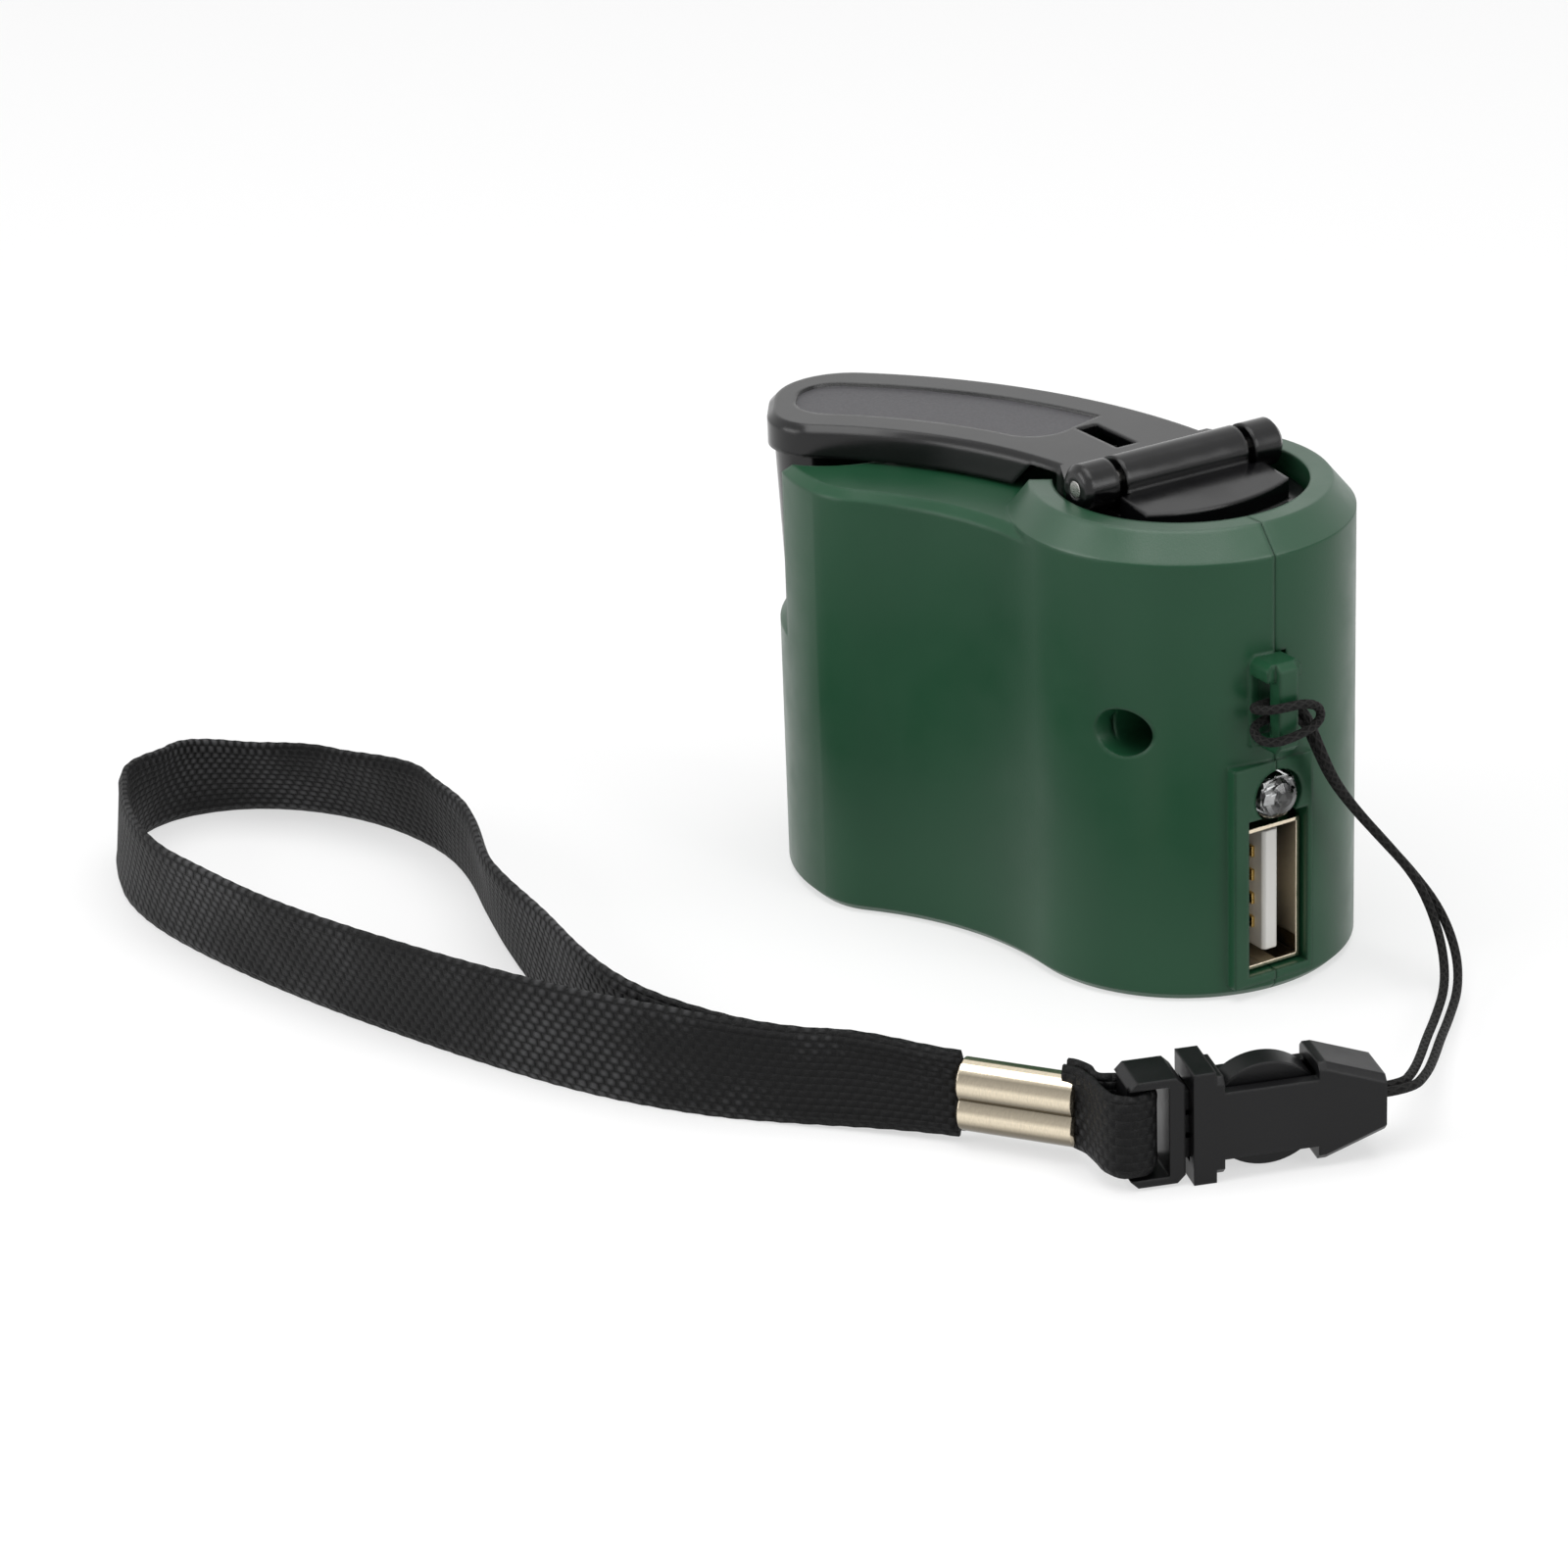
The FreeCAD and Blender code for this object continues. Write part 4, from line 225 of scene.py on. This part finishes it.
# Painted reflection on the plate, as brightness by slope: 0 faces down, 0.5 is upright, 1 faces up
NICKEL_REFLECTION_BANDS = [(0.30, 0.35), (0.46, 1.15), (0.56, 1.3), (0.66, 0.72), (0.80, 0.5), (0.90, 1.3),
                (1.0, 1.25)]
NICKEL_CAST = (1.0, 0.95, 0.84)
# Dark brown of the painted shade in the plate's corners and hollows
PAINTED_CORNER_SHADE = rgb(0.030, 0.020, 0.013)

# Specular level of the case's sides and of its collar
SATIN, POLISHED = 0.28, 0.60


def moulded(name, dark, light, rough_low, rough_high, grain=9000, depth=0.000004, waves=0.00004,
            edge=0.0003, shine=0.5):
    """Injection-moulded plastic: faint colour flow, fine grain and slow sink waves."""
    made, tree, shader = new_material(name)
    where = coordinates(tree)
    flow = noise(tree, where, 60, 2, stretch=(1, 1, 0.5))
    tree.links.new(ramp(tree, flow, dark, light), shader.inputs["Base Color"])
    patch = noise(tree, where, 240, 4)
    tree.links.new(ramp(tree, patch, rough_low, rough_high), shader.inputs["Roughness"])
    slow = bump(tree, shader, noise(tree, where, 45, 1), waves, after=soft_edge(tree, edge))
    bump(tree, shader, noise(tree, where, grain, 2), depth, after=slow)
    shader.inputs["IOR"].default_value = 1.49
    shader.inputs["Specular IOR Level"].default_value = shine
    return made


def metal(name, colour, rough_low, rough_high, brush=(1, 1, 14), depth=0.000003):
    """Plated or turned metal with fine drawn marks along one axis."""
    made, tree, shader = new_material(name)
    marks = noise(tree, coordinates(tree), 2500, 3, stretch=brush)
    darker = rgb(*(part * MARK_SHADE for part in colour[:3]))
    tree.links.new(ramp(tree, marks, darker, colour), shader.inputs["Base Color"])
    tree.links.new(ramp(tree, marks, rough_low, rough_high), shader.inputs["Roughness"])
    shader.inputs["Metallic"].default_value = 1.0
    bump(tree, shader, marks, depth, after=soft_edge(tree, 0.15 * MM))
    return made


def corner_shade(tree, distance, shut_at, open_at):
    """0 in deep corners and 1 on open faces, over the given distance in metres."""
    made = node(tree, "ShaderNodeAmbientOcclusion", samples=10, only_local=True)
    made.inputs["Distance"].default_value = distance
    return ramp(tree, made.outputs["AO"], 0.0, 1.0, shut_at, open_at)


def nickel():
    """Warm bright plate, painted reflections banded by slope, and painted shade in corners."""
    made = metal("nickel", rgb(0.66, 0.61, 0.53), 0.07, 0.13, brush=(8, 1, 1), depth=0.0000005)
    tree = made.node_tree
    shader = find_node(tree, "BSDF_PRINCIPLED")
    slope = scaled(tree, split(tree, coordinates(tree, "Normal"))["Z"], 0.5, 0.5)
    # Painted reflection: the plate's colour is banded by how its faces slope
    reflection_bands = node(tree, "ShaderNodeValToRGB")
    # A ramp sorts its stops as they move, so both ends are placed first and the rest in order
    stops = reflection_bands.color_ramp.elements
    stops[0].position, stops[1].position = NICKEL_REFLECTION_BANDS[0][0], NICKEL_REFLECTION_BANDS[-1][0]
    for place, _ in NICKEL_REFLECTION_BANDS[1:-1]:
        stops.new(place)
    for stop, (_, grey) in zip(stops, NICKEL_REFLECTION_BANDS):
        stop.color = rgb(*(grey * part for part in NICKEL_CAST))
    tree.links.new(slope, reflection_bands.inputs["Fac"])
    marks = shader.inputs["Base Color"].links[0].from_socket
    plate = node(tree, "ShaderNodeMix", data_type="RGBA", blend_type="MULTIPLY")
    plate.inputs["Factor"].default_value = 1.0
    tree.links.new(reflection_bands.outputs["Color"], plate.inputs[6])
    tree.links.new(marks, plate.inputs[7])
    # Painted shade: the plate darkens towards dark brown in deep corners and hollows
    shade = corner_shade(tree, 6 * MM, 0.34, 0.80)
    tree.links.new(mix(tree, shade, PAINTED_CORNER_SHADE, plate.outputs[2]), shader.inputs["Base Color"])
    return made


def arm_plastic(top_z, panel_z):
    """Gloss black plastic, with the sunk panel on top left matte from the mould."""
    made, tree, shader = new_material("crank_black")
    where = coordinates(tree)
    height = split(tree, where)["Z"]
    under = math_node(tree, "LESS_THAN", height, (top_z + panel_z) / 2)
    over = math_node(tree, "GREATER_THAN", height, panel_z - 0.1 * MM)
    upward = math_node(tree, "GREATER_THAN", split(tree, coordinates(tree, "Normal"))["Z"], 0.9)
    panel = math_node(tree, "MULTIPLY", math_node(tree, "MULTIPLY", under, over), upward)
    gloss_colour = ramp(tree, noise(tree, where, 90, 2), rgb(0.0015, 0.0015, 0.0018),
                        rgb(0.003, 0.003, 0.0035))
    matte_colour = ramp(tree, noise(tree, where, 5000, 2), rgb(0.045, 0.044, 0.048),
                        rgb(0.065, 0.064, 0.069))
    tree.links.new(mix(tree, panel, gloss_colour, matte_colour), shader.inputs["Base Color"])
    smooth = ramp(tree, noise(tree, where, 300, 4), 0.12, 0.22)
    tree.links.new(mix(tree, panel, smooth, rgb(0.52, 0.52, 0.52)), shader.inputs["Roughness"])
    slow = bump(tree, shader, noise(tree, where, 70, 1), 0.00005, after=soft_edge(tree, 0.5 * MM))
    grain = math_node(tree, "MULTIPLY", noise(tree, where, 7000, 2), panel)
    bump(tree, shader, grain, 0.00002, after=slow)
    shader.inputs["Specular IOR Level"].default_value = 0.42
    return made


def case_plastic(polished_z):
    """The dark green of the case: satin sides, and polished from the given height up."""
    made = moulded("case_green", rgb(0.008, 0.050, 0.022), rgb(0.012, 0.062, 0.028),
                   0.28, 0.38, grain=6000, depth=0.000007, waves=0.00006, edge=0.5 * MM)
    tree = made.node_tree
    collar = math_node(tree, "GREATER_THAN", split(tree, coordinates(tree))["Z"], polished_z)
    shine = scaled(tree, collar, POLISHED - SATIN, SATIN)
    tree.links.new(shine, find_node(tree, "BSDF_PRINCIPLED").inputs["Specular IOR Level"])
    return made


def clear_epoxy():
    """The lamp's clear body, with a faint haze."""
    made, tree, shader = new_material("lamp_clear")
    haze = noise(tree, coordinates(tree), 900, 2)
    tree.links.new(ramp(tree, haze, rgb(0.93, 0.96, 0.97), rgb(1, 1, 1)),
                   shader.inputs["Base Color"])
    tree.links.new(ramp(tree, haze, 0.01, 0.05), shader.inputs["Roughness"])
    shader.inputs["Transmission Weight"].default_value = 1.0
    shader.inputs["IOR"].default_value = 1.5
    return made


def woven(name, rib=0.00115, row=0.00074):
    """Polyester webbing: rows of short floats set like bricks, in the strip's own UV.

    rib is the length of a float and its gap, and row the height of a row, in metres."""
    made, tree, shader = new_material(name)
    place = coordinates(tree, "UV")
    parts = split(tree, place)
    rows = math_node(tree, "MULTIPLY", parts["Y"], 1 / row)
    odd = math_node(tree, "MODULO", math_node(tree, "FLOOR", rows), 2)
    step = math_node(tree, "MULTIPLY", odd, math.pi)
    phase = scaled(tree, parts["X"], 2 * math.pi / rib, step)
    float_up = scaled(tree, math_node(tree, "SINE", phase), 0.5, 0.5)
    round_row = math_node(tree, "ABSOLUTE",
                          math_node(tree, "SINE", math_node(tree, "MULTIPLY", rows, math.pi)))
    ridge = math_node(tree, "POWER", math_node(tree, "MULTIPLY", float_up, round_row), 0.5)
    fuzz = noise(tree, place, 9000, 2)
    height = math_node(tree, "ADD", ridge, math_node(tree, "MULTIPLY", fuzz, 0.25))
    # Colour follows the relief: painted highlights on float tops and painted shade in the gaps,
    # stronger in patches that stand for both real wear and painted sheen
    wear_and_sheen = ramp(tree, noise(tree, place, 45, 3), 0.3, 1.0, 0.40, 0.62)
    crest_sheen_and_wear = math_node(tree, "MULTIPLY", height, wear_and_sheen)
    crest_light_groove_shade = ramp(tree, crest_sheen_and_wear, rgb(0.0012, 0.0012, 0.0014), rgb(0.050, 0.050, 0.052), 0.42, 1.05)
    tree.links.new(crest_light_groove_shade, shader.inputs["Base Color"])
    tree.links.new(ramp(tree, fuzz, 0.5, 0.75), shader.inputs["Roughness"])
    bump(tree, shader, height, 0.00022)
    shader.inputs["Specular IOR Level"].default_value = 0.2
    return made


def braided(name, stitches=140, strands=4):
    """Braided string: two crossing families of slanted strands, in the curve's own UV.

    stitches is their number along the curve, and strands that round it."""
    made, tree, shader = new_material(name)
    parts = split(tree, coordinates(tree, "UV"))
    along = math_node(tree, "MULTIPLY", parts["X"], 2 * math.pi * stitches)
    around = math_node(tree, "MULTIPLY", parts["Y"], 2 * math.pi * strands)
    first = math_node(tree, "SINE", math_node(tree, "ADD", along, around))
    second = math_node(tree, "SINE", math_node(tree, "SUBTRACT", along, around))
    height = math_node(tree, "MAXIMUM", first, second)
    # Colour follows the relief: painted highlights on strand crests, painted shade in the grooves
    crest_light_groove_shade = ramp(tree, height, rgb(0.0012, 0.0011, 0.001), rgb(0.011, 0.0105, 0.010), 0.2, 1.0)
    tree.links.new(crest_light_groove_shade, shader.inputs["Base Color"])
    fuzz = noise(tree, coordinates(tree), 9000, 2)
    tree.links.new(ramp(tree, fuzz, 0.6, 0.85), shader.inputs["Roughness"])
    bump(tree, shader, height, 0.00006)
    shader.inputs["Specular IOR Level"].default_value = 0.2
    return made


MATERIALS = {
    "case_green": case_plastic(COLLAR_Z * MM),
    "crank_black": arm_plastic(ARM_TOP_Z * MM, ARM_PANEL_Z * MM),
    "dark_steel": metal("dark_steel", rgb(0.035, 0.034, 0.034), 0.3, 0.45),
    "steel": metal("steel", rgb(0.5, 0.49, 0.47), 0.18, 0.34),
    "nickel": nickel(),
    "can_steel": metal("can_steel", rgb(0.6, 0.6, 0.6), 0.25, 0.4),
    "gear_nylon": moulded("gear_nylon", rgb(0.62, 0.60, 0.53), rgb(0.70, 0.68, 0.61), 0.4, 0.55),
    "copper": metal("copper", rgb(0.65, 0.28, 0.12), 0.25, 0.4, brush=(1, 1, 40)),
    "magnet": metal("magnet", rgb(0.12, 0.12, 0.13), 0.4, 0.6),
    "brass": metal("brass", rgb(0.72, 0.5, 0.2), 0.2, 0.35),
    "tongue_white": moulded("tongue_white", rgb(0.62, 0.61, 0.58), rgb(0.72, 0.71, 0.68),
                            0.45, 0.6),
    "contact_gold": metal("contact_gold", rgb(0.85, 0.6, 0.22), 0.18, 0.3),
    "lamp_clear": clear_epoxy(),
    "board_green": moulded("board_green", rgb(0.015, 0.10, 0.04), rgb(0.02, 0.13, 0.05),
                           0.35, 0.5, grain=4000, depth=0.00001),
    "chip_black": moulded("chip_black", rgb(0.01, 0.01, 0.01), rgb(0.016, 0.016, 0.016), 0.5, 0.7),
    "string_black": braided("string_black"),
    "webbing_black": woven("webbing_black"),
    "buckle_black": moulded("buckle_black", rgb(0.003, 0.003, 0.0033), rgb(0.006, 0.006, 0.0065),
                            0.3, 0.42, grain=5000, depth=0.00001, edge=0.35 * MM, shine=0.25),
}

for part in frame["record"]["subparts"]:
    piece = frame["nodes"][part["node"]]
    piece.data.materials.clear()
    piece.data.materials.append(MATERIALS[part["material_slot"]])

# ---------------------------------------------------------------- lines


def spline_points(points, steps=14):
    """A quadratic B-spline from the first point to the last, sampled evenly in each span."""
    found = [points[0].copy()]
    spans = len(points) - 2
    for index in range(spans):
        before, here, after = points[index], points[index + 1], points[index + 2]
        start = before if index == 0 else (before + here) / 2
        end = after if index == spans - 1 else (here + after) / 2
        for step in range(1, steps + 1):
            part = step / steps
            found.append(start * (1 - part) ** 2 + here * (2 * part * (1 - part))
                         + end * part ** 2)
    return found


def distances(points):
    """How far along the line each of its points lies."""
    travelled = [0.0]
    for first, second in zip(points, points[1:]):
        travelled.append(travelled[-1] + (second - first).length)
    return travelled


def ways_along(points):
    """The line's way at each point, from the point before to the one after, of any length."""
    last = len(points) - 1
    return [points[min(index + 1, last)] - points[max(index - 1, 0)]
            for index in range(len(points))]


def sideways(way):
    """The level direction to the left of a way."""
    return Vector((-way.y, way.x, 0)).normalized()


def polar(radius, degrees):
    angle = math.radians(degrees)
    return Vector((radius * math.cos(angle), radius * math.sin(angle), 0))


def blend_at(part, stops):
    """A value between stops of (part of the way, value), eased at each stop."""
    for (start, low), (end, high) in zip(stops, stops[1:]):
        if part <= end:
            ease = (part - start) / (end - start)
            ease = ease * ease * (3 - 2 * ease)
            return low + (high - low) * ease
    return stops[-1][1]


def add_object(name, data):
    """An object with the given data, linked to the scene."""
    made = bpy.data.objects.new(name, data)
    bpy.context.scene.collection.objects.link(made)
    return made


# ---------------------------------------------------------------- lanyard


def strip_section(width, thick):
    """Points (height, offset) round the webbing's section, thicker at its edges."""
    section = []
    for column in range(STRIP_COLUMNS + 1):
        part = column / STRIP_COLUMNS * 2 - 1
        bulge = 1.0 if abs(part) < EDGE_FROM else EDGE_BULGE
        if abs(part) == 1:
            bulge = RIM_BULGE
        section.append((part * width / 2, thick / 2 * bulge))
    return section + [(height, -offset) for height, offset in reversed(section)]


def strip_mesh(name, foot, leans, widths, thick, material, body, ripple):
    """Webbing on edge: a thin rounded section carried along its lower edge, with UV in metres.

    leans gives the tilt of the section about the line, in radians, and widths its height, at
    each point. ripple is the height of the waves of its rims, in metres."""
    width = max(widths)
    around = strip_section(width, thick)
    travelled = distances(foot)
    verts, faces, uvs = [], [], []
    for point, way, lean, here, wide in zip(foot, ways_along(foot), leans, travelled, widths):
        flat = sideways(way)
        upright = way.normalized().cross(flat) * -1
        if upright.z < 0:
            upright = -upright
        tall = upright * math.cos(lean) + flat * math.sin(lean)
        side = flat * math.cos(lean) - upright * math.sin(lean)
        wave = ripple * math.sin(here * 2 * math.pi / (RIPPLE_LENGTH * MM))
        for height, offset in around:
            at_rim = abs(height) > width * RIPPLE_FROM
            reach = height * (1 + (wave / (width / 2) if at_rim else 0))
            verts.append(point + tall * ((reach + width / 2) * wide / width) + side * offset)
    count = len(around)
    rises = [height + width / 2 for height, _ in around]
    for index, (here, there) in enumerate(zip(travelled, travelled[1:])):
        low, high = index * count, (index + 1) * count
        for step in range(count):
            after = (step + 1) % count
            faces.append((low + step, low + after, high + after, high + step))
            uvs.append(((here, rises[step]), (here, rises[after]),
                        (there, rises[after]), (there, rises[step])))
    last = (len(foot) - 1) * count
    faces.append(tuple(reversed(range(count))))
    uvs.append(tuple((0, rise) for rise in reversed(rises)))
    faces.append(tuple(last + step for step in range(count)))
    uvs.append(tuple((travelled[-1], rise) for rise in rises))
    data = bpy.data.meshes.new(name)
    data.from_pydata([tuple(vert) for vert in verts], [], faces)
    layer = data.uv_layers.new(name="strip")
    for polygon, corners in zip(data.polygons, uvs):
        polygon.use_smooth = True
        for loop, corner in zip(polygon.loop_indices, corners):
            layer.data[loop].uv = corner
    data.materials.append(material)
    made = add_object(name, data)
    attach(made, body)
    return made


def string_route():
    """The loop of string: one strand up, the hitch round the eyelet, the other strand down."""
    route = [Vector(point) for point in STRING_ROUTE]
    sides = [sideways(way) * (STRING_SPACE / 2) for way in ways_along(route)]
    up = [point + side for point, side in zip(route, sides)]
    down = [point - side for point, side in zip(route, sides)]
    behind = BIG_RADIUS + (EYELET_OUT - EYELET_BAR) / 2
    front = BIG_RADIUS + EYELET_OUT + STRING_DIAMETER * 0.75
    left = EYELET_Y - EYELET_HALF - STRING_DIAMETER * 2.3
    right = EYELET_Y + EYELET_CAP_HALF + STRING_DIAMETER
    upper, lower = HITCH_UPPER + HITCH_RISE, HITCH_LOWER + HITCH_RISE
    # Two turns round the bar; the small offsets keep them clear of each other
    hitch = [Vector(point) for point in (
        (behind + 0.2, right, upper - 0.7), (behind, left, upper - 0.5),
        (front, left, upper), (front, right, upper - 0.2),
        (front + 0.3, right + 0.3, lower), (front, left, lower - 0.9),
        (behind, left, lower + 0.4), (behind + 0.2, right, lower + 0.4))]
    return [point * MM for point in up + hitch + list(reversed(down))]


def make_string():
    """The string as one round curve."""
    points = string_route()
    data = bpy.data.curves.new("string_line", "CURVE")
    data.dimensions = "3D"
    data.bevel_depth = STRING_DIAMETER / 2 * MM
    data.bevel_resolution = 5
    data.resolution_u = 10
    line = data.splines.new("NURBS")
    line.points.add(len(points) - 1)
    for target, point in zip(line.points, points):
        target.co = (*point, 1.0)
    line.order_u = 3
    line.use_endpoint_u = True
    data.materials.append(MATERIALS["string_black"])
    made = add_object("string_braid", data)
    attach(made, "housing")
    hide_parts("lanyard_string")
    length = distances(spline_points(points))[-1]


def make_strap():
    """The loop of webbing: upright in front, leaning in at the far side, gathered at its ends."""
    foot = spline_points([Vector((x, y, 0.0)) * MM for x, y in STRAP_ROUTE])
    travelled = distances(foot)
    parts = [way / travelled[-1] for way in travelled]
    leans = [math.radians(blend_at(part, STRAP_LEANS)) for part in parts]
    widths = [STRAP_WIDTH * MM * blend_at(part, STRAP_GATHER) for part in parts]
    for point, way, part in zip(foot, ways_along(foot), parts):
        point += sideways(way) * blend_at(part, STRAP_DRIFT) * MM
        point.z = blend_at(part, STRAP_LIFT) * MM
    made = strip_mesh("strap_webbing", foot, leans, widths, STRAP_THICK * MM,
                      MATERIALS["webbing_black"], "housing", STRAP_RIPPLE * MM)
    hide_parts("wrist_strap")


def make_tab():
    """The short loop from the ferrule round the buckle's bar, bulging on both sides."""
    side = polar(BUCKLE_THICK / 2 - STRAP_THICK / 2 - BUCKLE_WALL / 8, BUCKLE_TURN + 90)
    mouth = polar(STRAP_THICK * TAB_MOUTH, CRIMP_TURN + 90)
    end = Vector((*CRIMP_PLACE, 0)) + polar(CRIMP_LENGTH, CRIMP_TURN)
    inside = end - polar(TAB_INSERT, CRIMP_TURN)
    outside = end + polar(TAB_INSERT / 2, CRIMP_TURN)
    buckle = Vector((*BUCKLE_PLACE, 0))
    before = buckle - polar(BUCKLE_BAR, BUCKLE_TURN)
    around = buckle + polar(BUCKLE_BAR + BUCKLE_SLOT / 2, BUCKLE_TURN)
    low = Vector((0, 0, (BUCKLE_TALL - TAB_WIDTH) / 2))
    route = [inside + mouth, outside + mouth, before + side * TAB_BULGE, around + side,
             around - side, before - side * TAB_BULGE, outside - mouth, inside - mouth]
    foot = spline_points([(point + low) * MM for point in route], 8)
    made = strip_mesh("tab_webbing", foot, [0.0] * len(foot), [TAB_WIDTH * MM] * len(foot),
                      TAB_THICK * STRAP_THICK * MM, MATERIALS["webbing_black"], "housing",
                      TAB_RIPPLE * MM)
    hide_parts("strap_tab")


def make_leadframe():
    """The two leads inside the clear lamp: the cup that holds the die, and the thin post."""
    for name, (half, outline) in LAMP_LEADS.items():
        count = len(outline)
        verts = [((x + lean) * MM, (LAMP_Y + y) * MM, (LAMP_Z + z) * MM)
                 for y, lean in ((-half, 0.0), (half, LEAD_LEAN)) for x, z in outline]
        faces = [tuple(range(count)), tuple(reversed(range(count, 2 * count)))]
        faces += [(i, i + count, (i + 1) % count + count, (i + 1) % count) for i in range(count)]
        data = bpy.data.meshes.new(name)
        data.from_pydata(verts, [], faces)
        data.materials.append(MATERIALS["can_steel"])
        made = add_object(name, data)
        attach(made, "housing")


make_string()
make_strap()
make_tab()
make_leadframe()

# ---------------------------------------------------------------- floor, light and camera

# The floor: side in metres, drop under the part, and the share of it that glows white
FLOOR_SIDE, FLOOR_DROP, FLOOR_GLOW = 6, 0.05 * MM, 0.6

# Each soft box: name, place and side in metres, and power in watts; they aim at one point
SOFT_BOXES = [("top_box", (0.05, -0.05, 0.75), 0.7, 4.5),
              ("left_box", (-0.25, -0.75, 0.35), 0.5, 3.2),
              ("right_box", (0.75, 0.25, 0.4), 0.45, 2.6)]
LIT_POINT = (-0.01, -0.01, 0.02)
STUDIO_LIGHT = 0.4

# The camera fitted to the photograph: place in metres, turn in degrees, lens in millimetres
CAMERA_PLACE = (0.353474, -0.252997, 0.201607)
CAMERA_TURN = (66.7251, 1.9936, 58.1427)
CAMERA_LENS, CAMERA_SENSOR = 124.13, 36
CAMERA_NEAR, CAMERA_FAR = 0.01, 20


def make_floor():
    """A white floor that keeps the faint shadow and melts into the white background."""
    bpy.ops.mesh.primitive_plane_add(size=FLOOR_SIDE, location=(0, 0, -FLOOR_DROP))
    floor = bpy.context.object
    floor.name = "floor"
    made, tree, shader = new_material("floor_white")
    tree.nodes.remove(shader)
    diffuse = node(tree, "ShaderNodeBsdfDiffuse")
    diffuse.inputs["Color"].default_value = rgb(0.92, 0.92, 0.92)
    glow = node(tree, "ShaderNodeEmission")
    glow.inputs["Color"].default_value = rgb(1, 1, 1)
    glow.inputs["Strength"].default_value = 1.0
    both = node(tree, "ShaderNodeMixShader")
    both.inputs[0].default_value = FLOOR_GLOW
    tree.links.new(diffuse.outputs[0], both.inputs[1])
    tree.links.new(glow.outputs[0], both.inputs[2])
    tree.links.new(both.outputs[0], find_node(tree, "OUTPUT_MATERIAL").inputs["Surface"])
    floor.data.materials.append(made)


def soft_box(name, place, side, power):
    """A square light that aims at the part."""
    data = bpy.data.lights.new(name, "AREA")
    data.shape = "SQUARE"
    data.size = side
    data.energy = power
    made = add_object(name, data)
    made.location = place
    aim = Vector(LIT_POINT) - Vector(place)
    made.rotation_euler = aim.to_track_quat("-Z", "Y").to_euler()


def make_world():
    """White to the camera, to gloss and to glass; a soft grey studio to everything else."""
    world = bpy.data.worlds.new("studio")
    bpy.context.scene.world = world
    world.use_nodes = True
    tree = world.node_tree
    tree.nodes.clear()
    out = node(tree, "ShaderNodeOutputWorld")
    seen = node(tree, "ShaderNodeBackground")
    seen.inputs["Color"].default_value = rgb(1, 1, 1)
    seen.inputs["Strength"].default_value = 1.0
    lit = node(tree, "ShaderNodeBackground")
    lit.inputs["Strength"].default_value = STUDIO_LIGHT
    height = split(tree, coordinates(tree, "Generated"))["Z"]
    tree.links.new(ramp(tree, height, rgb(0.32, 0.33, 0.34), rgb(1, 1, 1), 0.0, 0.9),
                   lit.inputs["Color"])
    rays = node(tree, "ShaderNodeLightPath").outputs
    mirrored = math_node(tree, "MAXIMUM", rays["Is Glossy Ray"], rays["Is Transmission Ray"])
    either = math_node(tree, "MAXIMUM", rays["Is Camera Ray"], mirrored)
    choose = node(tree, "ShaderNodeMixShader")
    tree.links.new(either, choose.inputs[0])
    tree.links.new(lit.outputs[0], choose.inputs[1])
    tree.links.new(seen.outputs[0], choose.inputs[2])
    tree.links.new(choose.outputs[0], out.inputs["Surface"])


def make_camera():
    """The photograph's place and angle, with no shift."""
    data = bpy.data.cameras.new("camera")
    data.sensor_width = CAMERA_SENSOR
    data.lens = CAMERA_LENS
    data.clip_start = CAMERA_NEAR
    data.clip_end = CAMERA_FAR
    made = add_object("camera", data)
    made.location = CAMERA_PLACE
    made.rotation_euler = [math.radians(angle) for angle in CAMERA_TURN]
    bpy.context.scene.camera = made


make_floor()
make_world()
for box in SOFT_BOXES:
    soft_box(*box)
make_camera()
bpy.context.scene.view_settings.view_transform = "Standard"
